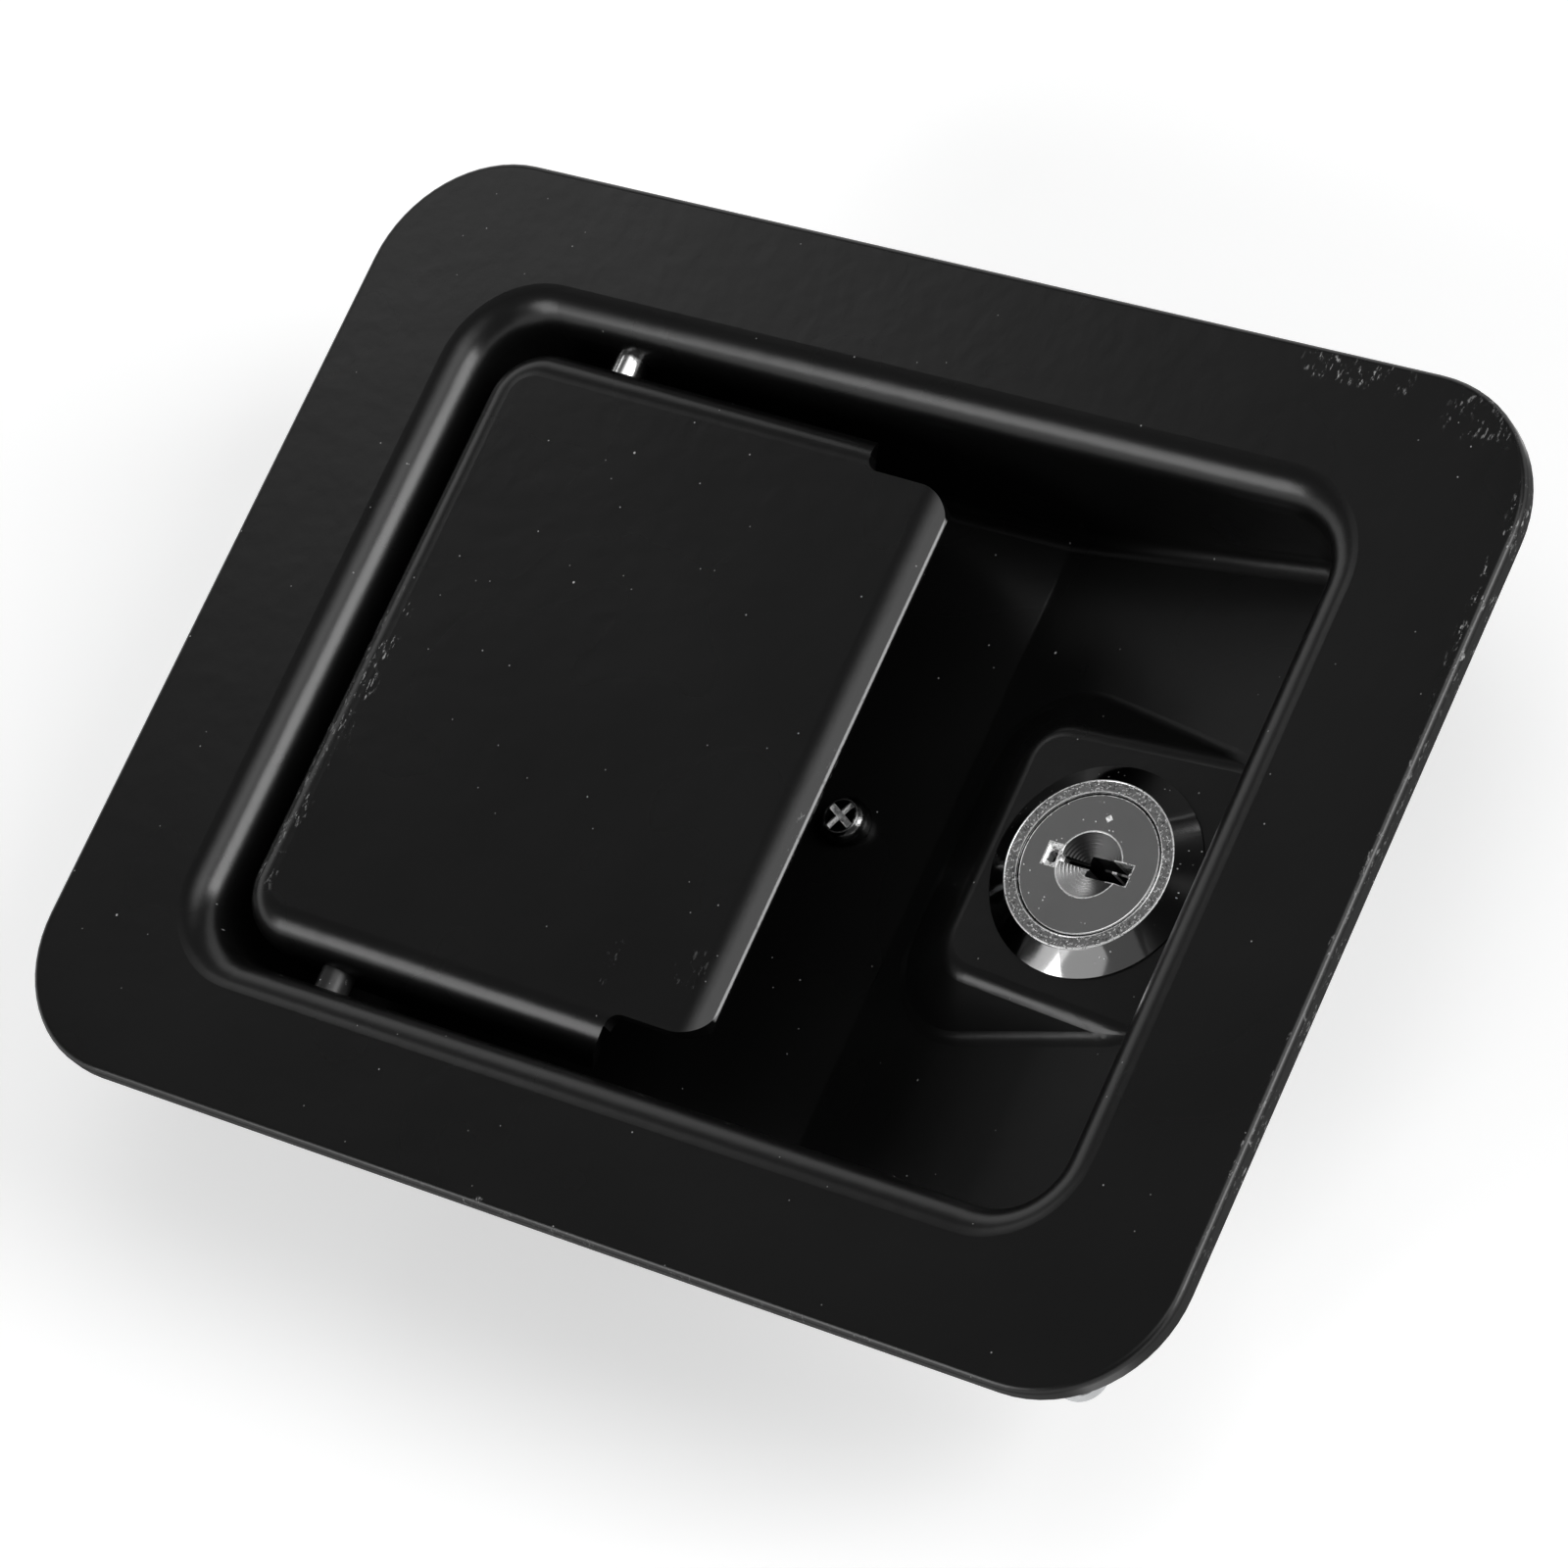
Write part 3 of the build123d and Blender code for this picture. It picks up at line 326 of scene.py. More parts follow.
# sizes of the lock, in millimetres, round the CAD node's own box
LOCK_LOW, LOCK_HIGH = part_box("lock_barrel")
RING_LEVEL = LOCK_HIGH.z / MM
LOCK_X = (LOCK_LOW.x + LOCK_HIGH.x) / 2 / MM
LOCK_END = LOCK_LOW.z / MM
BOSS_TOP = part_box("lock_nut")[1].z / MM + 2.0       # sheet of the pan
COLLAR_RADIUS = (LOCK_HIGH.x - LOCK_LOW.x) / 2 / MM
COLLAR_FACE = 8.98
BODY_RADIUS = 9.4
BODY_FLAT = 8.6
BODY_PITCH = 1.0
PLUG_RADIUS = 7.5
PLUG_ROOM = 0.08
PLUG_FACE = RING_LEVEL - 0.15
DISH_RADIUS = 3.5
DISH_DEPTH = 0.7
RING_PITCH = 0.36           # machining rings in the dish
RING_HEIGHT = 0.010
# The bright wedges in the dish are a painted reflection.
WEDGE_ANGLE = radians(66)   # of the bright wedges in the dish
INDEX_Y = 5.06
KEYWAY_DEPTH = 15.0
LOCK_STEPS = 144


# ------------------------------------------------------------------ materials
def patch(net, axes, centre, half):
    """1 at CENTRE, falling to 0 at HALF away along each axis; both in millimetres."""
    total = 1.0
    for axis, middle, reach in zip(axes, centre, half):
        away = net.math("ABSOLUTE", net.math("SUBTRACT", axis, middle * MM))
        total = net.math("MULTIPLY", total, net.step(away, reach * MM, 0.55 * reach * MM))
    return total


def scuffs_and_edge_highlights(net, place, patches):
    """Fine scratches that show the metal, in patches from handling; some patches are long strips
    along edges that also paint the highlight of a rounded edge.
    """
    axes = net.split(place)
    marks_and_highlights = 0.0
    for centre, half, strength in patches:
        spot = net.math("MULTIPLY", patch(net, axes, centre, half), strength)
        marks_and_highlights = net.math("MAXIMUM", marks_and_highlights, spot)
    streaks = net.noise(net.scaled(place, (1.0, 0.35, 1.0), turn=(0, 0, 0.5)), 2600, 4.0, 0.7)
    clumps = net.noise(place, 420, 2.0)
    grain = net.math("MULTIPLY", net.step(streaks, 0.56, 0.66), net.step(clumps, 0.44, 0.56))
    return net.math("MULTIPLY", marks_and_highlights, grain, clamp=True)


# The long strips along the flange's right and bottom edges are partly scratches and partly a painted
# highlight of the rounded edge.
PAN_WEAR_AND_EDGE_HIGHLIGHTS = (
    ((47.0, 52.0, 2.0), (7.0, 1.6, 1.5), 1.0),
    ((62.0, 50.5, 2.0), (5.0, 3.0, 1.5), 0.5),
    ((69.2, 34.0, 1.0), (1.3, 14.0, 2.0), 0.9),
    ((69.6, -8.0, 1.0), (0.6, 34.0, 2.0), 0.55),
    ((-5.5, -53.7, 1.0), (2.6, 0.9, 1.5), 1.0),
    ((20.0, -53.9, 1.0), (40.0, 0.5, 1.5), 0.35),
)
PADDLE_SCUFFS = (
    ((-46.5, -4.0, 0.6), (2.4, 10.0, 2.5), 0.9),
    ((-47.0, -20.0, 0.6), (2.0, 12.0, 2.5), 0.8),
    ((8.1, -6.0, -2.6), (0.6, 9.0, 1.6), 0.7),
    ((4.0, -24.0, -0.6), (2.0, 2.4, 1.0), 0.22),
    ((-5.0, -26.0, 0.2), (1.2, 3.0, 1.0), 0.22),
)


def cut_edge(net, place):
    """1 on the flange's thin outer side, which was sheared before coating and stays dull."""
    lean = net.split(net.add("ShaderNodeNewGeometry").outputs["Normal"])[2]
    steep = net.step(net.math("ABSOLUTE", lean), 0.8, 0.3)
    axes = net.split(place)
    beside = net.step(net.math("ABSOLUTE", axes[0]), 66 * MM, 68.5 * MM)
    below = net.step(net.math("ABSOLUTE", axes[1]), 50.5 * MM, 52.5 * MM)
    return net.math("MULTIPLY", steep, net.math("MAXIMUM", beside, below))


def coat(name, rough, patches, tone=0.0035, lip_highlight_from=None):
    """Satin black powder coat: fine orange peel, dust, lint and scratched patches, with painted
    highlights along the flange's long edge strips and on the paddle lip's cut edge.
    """
    made, net = material(name)
    place = net.place()
    peel = net.noise(place, 520, 2.0, 0.45)
    grain = net.noise(place, 3600, 1.0)
    wave = net.noise(place, 55, 1.5)
    normal = net.bump(peel, 0.000030, 0.6)
    normal = net.bump(grain, 0.000004, 0.6, normal)
    normal = net.bump(net.noise(place, 150, 2.0), 0.00006, 0.6, normal)
    colour = net.mix(wave, tone * 0.85, tone * 1.2)
    finish = net.blend(wave, rough - 0.03, rough + 0.03)

    for scale, chance, low, high, bright in (
        (260, 0.94, 0.028, 0.014, 0.30),
        (620, 0.98, 0.055, 0.030, 0.20),
        (90, 0.95, 0.014, 0.008, 0.45),
    ):
        spread = net.vector("ADD", place, (0.31 * scale * MM, 0.17, 0.0))
        rare = net.split(net.cells(spread, scale, "Color", "2D"))[0]
        speck = net.step(net.cells(spread, scale, sides="2D"), low, high)
        speck = net.math("MULTIPLY", speck, net.math("GREATER_THAN", rare, chance))
        colour = net.mix(speck, colour, bright)
        finish = net.blend(speck, finish, 0.8)

    wear_and_edge_highlights = scuffs_and_edge_highlights(net, place, patches)
    # Painted highlight: a light grey broken line along the paddle lip's cut edge, past
    # lip_highlight_from.
    if lip_highlight_from:
        line_breaks = net.step(net.noise(place, 700, 2.0), 0.15, 0.40)
        bright_marks = net.step(net.split(place)[0], lip_highlight_from, lip_highlight_from + 0.15 * MM)
        wear_and_edge_highlights = net.math("MAXIMUM", wear_and_edge_highlights, net.math("MULTIPLY", bright_marks, line_breaks))
    colour = net.mix(wear_and_edge_highlights, colour, 0.38)
    finish = net.blend(wear_and_edge_highlights, finish, 0.45)
    normal = net.bump(wear_and_edge_highlights, 0.00002, 0.5, normal)
    finish = net.blend(cut_edge(net, place), finish, 0.9)
    principled(net, Base_Color=colour, Roughness=finish, Normal=normal, IOR=1.45)
    return made


def metal(name, colour, rough, stain=0.25, fine=900, bump=0.000004, blotch=40):
    """Plated or uncoated metal with a slightly uneven tone and polish."""
    made, net = material(name)
    place = net.place()
    broad = net.noise(place, blotch, 3.0)
    small = net.noise(place, fine, 3.0, 0.6)
    dark = tuple(part * (1 - stain) for part in colour)
    tone = net.mix(net.step(broad, 0.3, 0.7), colour, dark)
    finish = net.blend(small, rough * 0.75, rough * 1.35)
    normal = net.bump(small, bump, 0.6)
    principled(net, Base_Color=tone, Metallic=1.0, Roughness=finish, Normal=normal)
    return made


def pin_steel():
    """Bright turned pin, darker and less metallic towards its -y end, where scratches still show the
    bright steel.
    """
    made, net = material("pin_steel")
    place = net.place()
    turned = net.noise(net.scaled(place, (1, 40, 1)), 90, 2.0)
    scratch = net.noise(place, 1500, 3.0, 0.6)
    # Darker colour fading in from y = 0 to y = -20 mm, except in the scratches.
    low = net.step(net.split(place)[1], 0.0, -20 * MM)
    bright_marks = net.step(scratch, 0.66, 0.72)
    darkened_end = net.math("MULTIPLY", low, net.math("SUBTRACT", 1.0, bright_marks))
    tone = net.mix(darkened_end, 0.62, 0.02)
    shine = net.math("SUBTRACT", 1.0, net.math("MULTIPLY", darkened_end, 0.95))
    normal = net.bump(turned, 0.00001, 0.5)
    finish = net.blend(darkened_end, 0.2, 0.4)
    principled(net, Base_Color=tone, Metallic=shine, Roughness=finish, Normal=normal)
    return made


def chrome(name, rough, level):
    """Thin chrome over a casting: a grey mirror with pits and specks, and painted highlights along
    its rims.
    """
    made, net = material(name)
    place = net.place()
    x, y, z = net.split(net.vector("SUBTRACT", place, (LOCK_X * MM, 0, 0)))
    radius = net.math("SQRT", net.math("ADD", net.math("MULTIPLY", x, x), net.math("MULTIPLY", y, y)))
    top = net.step(z, (RING_LEVEL - 0.30) * MM, (RING_LEVEL - 0.12) * MM)
    small = net.noise(place, 3200, 3.0, 0.65)
    broad = net.noise(place, 260, 3.0)

    def speckle(scale, chance, size):
        rare = net.split(net.cells(place, scale, "Color", "2D"))[0]
        dot = net.step(net.cells(place, scale, sides="2D"), size, size * 0.5)
        return net.math("MULTIPLY", dot, net.math("GREATER_THAN", rare, chance))

    def between(value, low, high, soft=0.04):
        rise = net.step(value, (low - soft) * MM, low * MM)
        return net.math("MULTIPLY", rise, net.step(value, (high + soft) * MM, high * MM))

    ring = net.math("MULTIPLY", top, between(radius, PLUG_RADIUS + 0.3, COLLAR_FACE - 0.1))
    grit = net.math("MULTIPLY", ring, net.step(small, 0.56, 0.66))
    pit = net.math("MULTIPLY", ring, net.step(net.noise(place, 2400, 3.0, 0.7), 0.46, 0.38))
    specks = net.math("MAXIMUM", speckle(2200, 0.93, 0.20), speckle(1100, 0.95, 0.09))
    specks = net.math("MULTIPLY", specks, net.step(broad, 0.46, 0.58))
    # Painted highlight: thin bands of near-white colour along the rims of the collar face, the bore,
    # the plug and the dish.
    edges = net.math("MAXIMUM", between(radius, COLLAR_FACE - 0.08, COLLAR_FACE + 0.03),
                     between(radius, PLUG_RADIUS - 0.14, PLUG_RADIUS - 0.06))
    edges = net.math("MAXIMUM", edges, between(radius, PLUG_RADIUS + 0.20, PLUG_RADIUS + 0.26))
    edges = net.math("MAXIMUM", edges, between(radius, DISH_RADIUS, DISH_RADIUS + 0.10))
    edges = net.math("MULTIPLY", edges, top)
    bright = net.math("MAXIMUM", specks, net.math("MULTIPLY", edges, net.step(small, 0.30, 0.50)))
    bright = net.math("MAXIMUM", bright, net.math("MULTIPLY", grit, 0.6))

    tone = net.mix(broad, level * 0.93, level * 1.07)
    tone = net.mix(ring, tone, 0.85)
    tone = net.mix(pit, tone, 0.42)
    # Specks, grit and the painted rim highlights turn the colour near white.
    tone = net.mix(bright, tone, 0.95)
    finish = net.blend(small, rough * 0.7, rough * 1.5)
    finish = net.blend(bright, finish, 0.5)
    normal = net.bump(small, 0.0000015, 0.5)
    normal = net.bump(bright, 0.00002, 0.6, normal)
    if name == "chrome_plug":
        tone, finish = painted_dish_reflection(net, x, y, radius, tone, finish)
        tone, finish = keyway_highlight_and_mark(net, x, y, small, tone, finish)
    principled(net, Base_Color=tone, Metallic=1.0, Roughness=finish, Normal=normal)
    return made


def painted_dish_reflection(net, x, y, radius, tone, finish):
    """Painted reflection: opposite bright and dark wedges and fine rings painted into the dish's
    colour, in place of the light that a cutter's rings throw back.
    """
    inside = net.step(radius, DISH_RADIUS * MM, (DISH_RADIUS - 0.05) * MM)
    angle = net.math("ARCTAN2", y, x)
    turned = net.math("MULTIPLY", net.math("SUBTRACT", angle, WEDGE_ANGLE), 2.0)
    wedge = net.math("MULTIPLY_ADD", net.math("COSINE", turned), 0.5, 0.5)
    lean = net.math("COSINE", net.math("SUBTRACT", angle, WEDGE_ANGLE + pi))
    wedge = net.math("MULTIPLY", wedge, net.math("MULTIPLY_ADD", lean, 0.25, 0.75))
    fine = net.math("SINE", net.math("MULTIPLY", radius, 2 * pi / (RING_PITCH * 0.5 * MM)))
    wedge = net.math("ADD", wedge, net.math("MULTIPLY", fine, 0.10), clamp=True)
    shade = net.mix(net.step(wedge, 0.10, 0.85), 0.05, 1.0)
    return net.mix(inside, tone, shade), net.blend(inside, finish, 0.27)


def keyway_highlight_and_mark(net, x, y, small, tone, finish):
    """Painted highlight: bright colour round the keyway's ends in place of the lit walls of the
    wards, and the bright index mark.
    """
    def off(axis, middle):
        return net.math("ABSOLUTE", net.math("SUBTRACT", axis, middle * MM))

    def frame(centre, half, wide):
        beside = net.math("SUBTRACT", off(x, centre[0]), half[0] * MM)
        above = net.math("SUBTRACT", off(y, centre[1]), half[1] * MM)
        away = net.math("MAXIMUM", beside, above)
        outer = net.step(away, wide * MM, (wide - 0.05) * MM)
        return net.math("MULTIPLY", outer, net.step(away, -0.5 * MM, -0.4 * MM))

    # Painted highlight: bright frames round both ends of the keyway.
    left = frame((-4.22, 0), (0.78, 1.12), 0.20)
    right = frame((3.6, 0), (1.15, 1.10), 0.14)
    marks_and_highlights = net.math("MULTIPLY", net.math("MAXIMUM", left, right), net.step(small, 0.34, 0.50))
    mark = net.math("ADD", off(x, 0), off(y, INDEX_Y))
    marks_and_highlights = net.math("MAXIMUM", marks_and_highlights, net.step(mark, 0.48 * MM, 0.40 * MM))
    return net.mix(marks_and_highlights, tone, 1.0), net.blend(marks_and_highlights, finish, 0.5)


def cross_steel():
    """Dulled zinc plate, with a painted highlight in the cross recess: bright, mostly non-metallic
    colour.
    """
    made, net = material("cross_steel")
    place = net.place()
    grain = net.noise(place, 2600, 3.0, 0.7)
    low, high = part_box("guide_screw")
    x, y, z = net.split(net.vector("SUBTRACT", place, ((low.x + high.x) / 2, 0, 0)))
    radius = net.math("SQRT", net.math("ADD", net.math("MULTIPLY", x, x), net.math("MULTIPLY", y, y)))
    # Painted highlight: the cross recess turns bright white and mostly non-metallic.
    recess = net.step(z, high.z - 0.10 * MM, high.z - 0.35 * MM)
    recess = net.math("MULTIPLY", recess, net.step(radius, 1.95 * MM, 1.80 * MM))
    tone = net.mix(recess, 0.14, net.mix(net.step(grain, 0.35, 0.6), 0.5, 1.0))
    finish = net.blend(recess, net.blend(grain, 0.10, 0.22), 0.55)
    normal = net.bump(grain, 0.00004, 0.6)
    metallic = net.blend(recess, 1.0, 0.2)
    principled(net, Base_Color=tone, Metallic=metallic, Roughness=finish, Normal=normal)
    return made


MATERIALS = {
    "black_coat": coat("powder_coat_pan", 0.28, PAN_WEAR_AND_EDGE_HIGHLIGHTS),
    "black_coat_paddle": coat(
        "powder_coat_paddle", 0.27, PADDLE_SCUFFS, 0.0033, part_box("paddle")[1].x - 0.3 * MM),
    "plated_steel": metal("zinc_plate", (0.62, 0.63, 0.64), 0.28),
    "bright_steel": metal("bright_steel", (0.60, 0.60, 0.61), 0.18),
    "screw_steel": cross_steel(),
    "spring_steel": metal("spring_steel", (0.42, 0.42, 0.43), 0.24),
    "cast_zinc": metal("cast_zinc", (0.50, 0.51, 0.53), 0.36, bump=0.000012),
    "chrome_barrel": chrome("chrome_barrel", 0.07, 0.44),
    "chrome_plug": chrome("chrome_plug", 0.09, 0.76),
    "brass_wafer": metal("brass_wafer", (0.42, 0.36, 0.24), 0.25),
}


# ------------------------------------------------------------------ mesh pieces
def finish(name, form, body, slot, *nodes, angle=32, made=None):
    """Turns a bmesh, in millimetres, into a piece that rides on a body."""
    bmesh.ops.recalc_face_normals(form, faces=form.faces)
    form.transform(Matrix.Scale(MM, 4))
    mesh = bpy.data.meshes.new(name)
    form.to_mesh(mesh)
    form.free()
    for face in mesh.polygons:
        face.use_smooth = True
    mesh.set_sharp_from_angle(angle=radians(angle))
    mesh.materials.append(made or MATERIALS[slot])
    piece = bpy.data.objects.new(name, mesh)
    SCENE.collection.objects.link(piece)
    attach(piece, body)
    if nodes:
        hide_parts(*nodes)
    return piece


def revolve(form, rows, steps, centre=(0, 0), closed=False):
    """Rings about a vertical axis. Each row is (radius, level); a radius may be a function
    of the angle, and 0 makes a point."""
    rings = []
    for radius, level in rows:
        ring = []
        count = 1 if radius == 0 else steps
        for k in range(count):
            angle = 2 * pi * k / steps
            reach = radius(angle) if callable(radius) else radius
            ring.append(form.verts.new((
                centre[0] + reach * cos(angle), centre[1] + reach * sin(angle), level)))
        rings.append(ring)
    pairs = list(zip(rings, rings[1:]))
    if closed:
        pairs.append((rings[-1], rings[0]))
    for low, high in pairs:
        for k in range(steps):
            corners = [low[k % len(low)], low[(k + 1) % len(low)]]
            corners += [high[(k + 1) % len(high)], high[k % len(high)]]
            unique = list(dict.fromkeys(corners))
            if len(unique) > 2:
                form.faces.new(unique)


def thread_rows(major, pitch, low, high, depth=0.6, per_turn=6, limit=None, fade=1.5):
    """Rows of a screw thread between two levels, which fades out at both ends."""
    count = round((high - low) / pitch * per_turn)
    rows = []
    for k in range(count + 1):
        level = low + (high - low) * k / count
        room = min(level - low, high - level) / pitch
        strength = min(1.0, 0.25 + room / fade)

        def radius(angle, level=level, strength=strength):
            phase = (level / pitch - angle / (2 * pi)) % 1.0
            cut = depth * pitch * strength * min(1.0, 1.15 * abs(2 * phase - 1))
            reach = major - cut
            return min(reach, limit(angle)) if limit else reach

        rows.append((radius, level))
    return rows


def cut(piece, *cutters):
    """Takes closed meshes, given as bmeshes in millimetres, out of a piece."""
    for number, form in enumerate(cutters):
        bmesh.ops.recalc_face_normals(form, faces=form.faces)
        form.transform(Matrix.Scale(MM, 4))
        mesh = bpy.data.meshes.new("cutter")
        form.to_mesh(mesh)
        form.free()
        tool = bpy.data.objects.new("cutter", mesh)
        SCENE.collection.objects.link(tool)
        change = piece.modifiers.new("cut", "BOOLEAN")
        change.object = tool
        change.operation = "DIFFERENCE"
        change.solver = "EXACT"
        bpy.context.view_layer.update()
        graph = bpy.context.evaluated_depsgraph_get()
        result = bpy.data.meshes.new_from_object(piece.evaluated_get(graph))
        piece.modifiers.clear()
        old = piece.data
        piece.data = result
        result.name = old.name + "_" + str(number)
        bpy.data.meshes.remove(old)
        bpy.data.objects.remove(tool)
        bpy.data.meshes.remove(mesh)
    for face in piece.data.polygons:
        face.use_smooth = True
    piece.data.set_sharp_from_angle(angle=radians(32))


def prism(x, y, z, bevel=0.0, top=0.0, turn=0.0, centre=(0, 0)):
    """A block between pairs of limits, with bevelled upright edges; TOP widens its top."""
    form = bmesh.new()
    corners = [(x[0], y[0]), (x[1], y[0]), (x[1], y[1]), (x[0], y[1])]
    middle = Vector(((x[0] + x[1]) / 2, (y[0] + y[1]) / 2))
    spin = Matrix.Rotation(turn, 2)
    rings = []
    for level, grow in ((z[0], 0.0), (z[1], top)):
        ring = []
        for corner in corners:
            out = Vector(corner) - middle
            out += Vector((grow if out.x > 0 else -grow, grow if out.y > 0 else -grow))
            place = spin @ (middle + out) + Vector(centre)
            ring.append(form.verts.new((*place, level)))
        rings.append(ring)
    form.faces.new(rings[0])
    form.faces.new(rings[1])
    for k in range(4):
        form.faces.new((rings[0][k], rings[0][k - 1], rings[1][k - 1], rings[1][k]))
    if bevel:
        upright = [e for e in form.edges if abs(e.verts[0].co.z - e.verts[1].co.z) > 0.01]
        bmesh.ops.bevel(form, geom=upright, offset=bevel, segments=3, affect="EDGES")
    return form


# ------------------------------------------------------------------ lock
def lock_barrel():
    """Coned collar with a flat ring round the plug, and a threaded body with two flats."""
    form = bmesh.new()
    bore = PLUG_RADIUS + PLUG_ROOM
    rows = [(bore, LOCK_END)]
    rows += thread_rows(
        BODY_RADIUS, BODY_PITCH, LOCK_END, BOSS_TOP, per_turn=5,
        limit=lambda angle: BODY_FLAT / max(abs(sin(angle)), 0.01))
    rows += [
        (COLLAR_RADIUS - 0.15, BOSS_TOP),
        (COLLAR_RADIUS, BOSS_TOP + 0.10),
        (COLLAR_RADIUS - 0.03, BOSS_TOP + 0.22),
        (COLLAR_FACE + 0.14, RING_LEVEL - 0.13),
        (COLLAR_FACE + 0.10, RING_LEVEL - 0.09),
        (COLLAR_FACE + 0.03, RING_LEVEL - 0.02),
        (COLLAR_FACE - 0.05, RING_LEVEL),
        (COLLAR_FACE - 0.12, RING_LEVEL - 0.03),
        (COLLAR_FACE - 0.16, RING_LEVEL - 0.04),
        (COLLAR_FACE - 0.20, RING_LEVEL - 0.04),
        (bore + 0.28, RING_LEVEL - 0.04),
        (bore + 0.24, RING_LEVEL - 0.04),
        (bore + 0.18, RING_LEVEL - 0.01),
        (bore + 0.12, RING_LEVEL - 0.01),
        (bore + 0.03, RING_LEVEL - 0.10),
        (bore, RING_LEVEL - 0.22),
        (bore, RING_LEVEL - 0.30),
        (bore, RING_LEVEL - 1.5),
    ]
    revolve(form, rows, LOCK_STEPS, (LOCK_X, 0), closed=True)
    return finish("lock_barrel_turned", form, "case", "chrome_barrel", "lock_barrel")


def dish(radius):
    """Depth of the plug's dish at a radius, with the rings that the cutter left."""
    share = radius / DISH_RADIUS
    ripple = RING_HEIGHT * cos(2 * pi * radius / RING_PITCH) * min(1.0, 4 * (1 - share))
    return PLUG_FACE - DISH_DEPTH * (1 - share ** 1.4) + ripple


def lock_plug():
    """The plug: ringed dish, warded keyway, index mark and square tail."""
    tail_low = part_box("lock_plug")[0].z / MM
    form = bmesh.new()
    rows = [(0, LOCK_END), (PLUG_RADIUS - 0.2, LOCK_END), (PLUG_RADIUS, LOCK_END + 0.2)]
    rows += [
        (PLUG_RADIUS, PLUG_FACE - 0.30),
        (PLUG_RADIUS, PLUG_FACE - 0.20),
        (PLUG_RADIUS - 0.04, PLUG_FACE - 0.06),
        (PLUG_RADIUS - 0.11, PLUG_FACE + 0.01),
        (PLUG_RADIUS - 0.18, PLUG_FACE + 0.01),
        (PLUG_RADIUS - 0.23, PLUG_FACE),
        (PLUG_RADIUS - 0.27, PLUG_FACE),
        (DISH_RADIUS + 0.18, PLUG_FACE),
        (DISH_RADIUS + 0.12, PLUG_FACE),
        (DISH_RADIUS + 0.07, PLUG_FACE + 0.012),
        (DISH_RADIUS + 0.03, PLUG_FACE + 0.012),
    ]
    count = 70
    spans = [DISH_RADIUS * (1 - k / count) for k in range(count)]
    rows += [(span, dish(span)) for span in spans]
    rows.append((0, dish(0)))
    revolve(form, rows, LOCK_STEPS, (LOCK_X, 0))
    piece = finish("lock_plug_turned", form, "lock_plug", "chrome_plug", "lock_plug")

    floor = PLUG_FACE - KEYWAY_DEPTH
    above = PLUG_FACE + 1.0
    centre = (LOCK_X, 0)
    index = bmesh.new()
    revolve(index, [(0, PLUG_FACE - 0.30), (0.42, PLUG_FACE + 0.02), (0.42, above), (0, above)], 4,
            (LOCK_X, INDEX_Y))
    cut(
        piece,
        prism((-5.0, -3.45), (-1.12, 1.12), (PLUG_FACE - 0.30, above), 0.15, centre=centre),
        prism((-4.7, -3.8), (-0.75, 0.35), (floor, above), 0.10, centre=centre),
        prism((-3.6, -0.1), (-0.42, 0.30), (PLUG_FACE - 0.95, above), centre=centre),
        prism((-2.6, -0.1), (-0.22, 0.10), (floor, above), centre=centre),
        prism((-0.25, 4.75), (0.22, 1.08), (floor, above), 0.10, centre=centre),
        prism((-0.25, 4.75), (-1.15, 0.0), (floor, above), 0.10, centre=centre),
        prism((-0.25, 1.55), (-0.2, 0.4), (floor, above), centre=centre),
        prism((1.3, 4.6), (-0.1, 0.3), (PLUG_FACE - 0.75, above), centre=centre),
        index,
    )
    tail = prism((-4.0, 4.0), (-4.0, 4.0), (tail_low, LOCK_END), 0.5, centre=centre)
    finish("lock_tail_square", tail, "lock_plug", "chrome_plug", "lock_plug")


# ------------------------------------------------------------------ fasteners and spring
GUIDE_LOW, GUIDE_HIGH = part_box("guide_screw")
GUIDE_X = (GUIDE_LOW.x + GUIDE_HIGH.x) / 2 / MM
GUIDE_HEAD = (GUIDE_HIGH.x - GUIDE_LOW.x) / 2 / MM
GUIDE_HEAD_HEIGHT = 2.3
GUIDE_RADIUS = 1.5
GUIDE_PITCH = 0.5
CROSS_TURN = radians(62)
CROSS_REACH = 1.6
STUD_RADIUS = 3.175
STUD_PITCH = 1.27
SPRING_WIRE = 0.8
SPRING_RADIUS = 3.0
SPRING_TURNS = 7


def guide_screw():
    """Cross-recess pan head screw with its thread."""
    top = GUIDE_HIGH.z / MM
    seat = top - GUIDE_HEAD_HEIGHT
    end = GUIDE_LOW.z / MM
    form = bmesh.new()
    rows = [(0, end), (GUIDE_RADIUS - 0.45, end)]
    rows += thread_rows(GUIDE_RADIUS, GUIDE_PITCH, end + 0.25, seat - 0.4, per_turn=5)
    rows += [(GUIDE_RADIUS, seat), (GUIDE_HEAD - 0.1, seat), (GUIDE_HEAD, seat + 0.1)]
    for k in range(11):
        lean = radians(90 * k / 10)
        crown = GUIDE_HEAD_HEIGHT - 0.95
        rows.append((GUIDE_HEAD - 1.5 * (1 - cos(lean)), seat + 0.95 + crown * sin(lean)))
    rows.append((0, top))
    revolve(form, rows, 72, (GUIDE_X, 0))
    piece = finish("guide_screw_turned", form, "case", "screw_steel", "guide_screw")
    arms = []
    for turn in (CROSS_TURN, CROSS_TURN + pi / 2):
        arms.append(prism(
            (-CROSS_REACH, CROSS_REACH), (-0.26, 0.26), (top - 1.3, top + 0.3),
            0.05, 0.14, turn, (GUIDE_X, 0)))
    cut(piece, *arms)


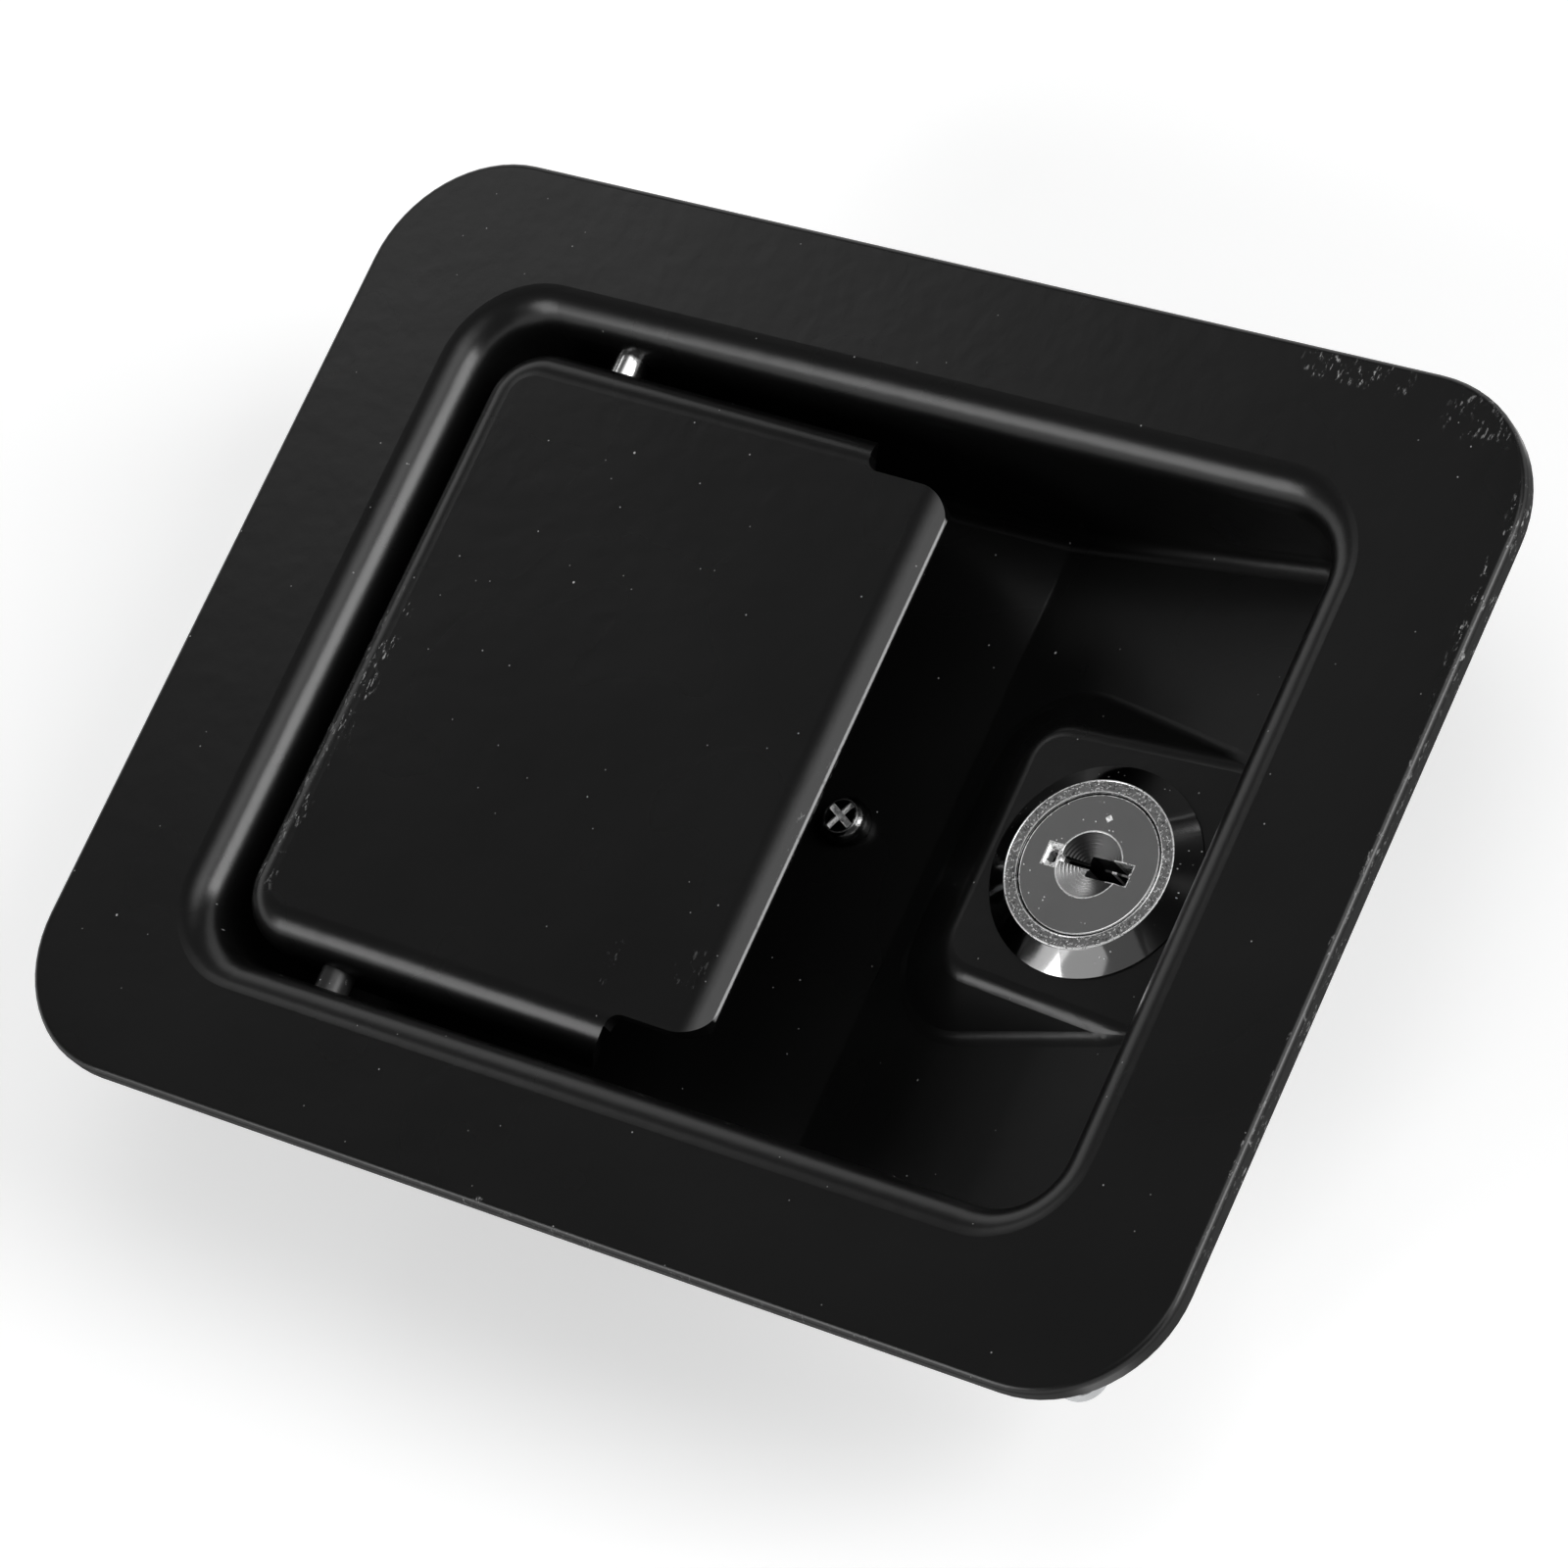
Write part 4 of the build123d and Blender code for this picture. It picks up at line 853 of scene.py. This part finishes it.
def mounting_studs():
    """Weld studs with a rolled thread, a pointed tip and a ring of weld flash."""
    low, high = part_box("mounting_studs")
    form = bmesh.new()
    tip = low.z / MM
    for x in (low.x / MM + STUD_RADIUS, high.x / MM - STUD_RADIUS):
        for y in (low.y / MM + STUD_RADIUS, high.y / MM - STUD_RADIUS):
            rows = [(0, tip), (STUD_RADIUS - 0.85, tip)]
            rows += thread_rows(STUD_RADIUS, STUD_PITCH, tip + 0.5, -2.2, per_turn=6)
            rows += [(STUD_RADIUS - 0.35, -2.0), (STUD_RADIUS - 0.35, -0.7)]
            rows += [(STUD_RADIUS - 0.1, -0.45), (STUD_RADIUS, -0.15), (STUD_RADIUS, 0), (0, 0)]
            revolve(form, rows, 40, (x, y))
    finish("mounting_studs_threaded", form, "case", "plated_steel", "mounting_studs", angle=40)


def bolt_spring():
    """Round wire wound into a compression spring with closed ends."""
    low, high = (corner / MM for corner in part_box("bolt_spring"))
    middle = (low.z + high.z) / 2
    half = SPRING_WIRE / 2
    start = low.x + half
    length = high.x - low.x - SPRING_WIRE
    sides = 10
    steps = SPRING_TURNS * 40
    form = bmesh.new()
    rings = []
    for k in range(steps + 1):
        share = k / steps
        angle = 2 * pi * SPRING_TURNS * share
        closed = 1 / SPRING_TURNS
        run = SPRING_WIRE / length
        if share < closed:
            along = share / closed * run
        elif share > 1 - closed:
            along = 1 - (1 - share) / closed * run
        else:
            along = run + (share - closed) / (1 - 2 * closed) * (1 - 2 * run)
        out = Vector((0, cos(angle), sin(angle)))
        place = Vector((start + along * length, 0, middle)) + out * SPRING_RADIUS
        ring = []
        for side in range(sides):
            around = 2 * pi * side / sides
            offset = out * (half * cos(around)) + Vector((half * sin(around), 0, 0))
            ring.append(form.verts.new(place + offset))
        rings.append(ring)
    for a, b in zip(rings, rings[1:]):
        for side in range(sides):
            after = (side + 1) % sides
            form.faces.new((a[side], a[after], b[after], b[side]))
    form.faces.new(rings[0])
    form.faces.new(rings[-1])
    piece = finish("bolt_spring_wound", form, "case", "spring_steel", "bolt_spring")
    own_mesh(piece)


for row in frame["record"]["subparts"]:
    node = NODES[row["node"]]
    node.data.materials.clear()
    node.data.materials.append(MATERIALS[row["material_slot"]])
NODES["hinge_pin"].data.materials[0] = pin_steel()

lock_barrel()
lock_plug()
guide_screw()
mounting_studs()
bolt_spring()
camera()
studio()
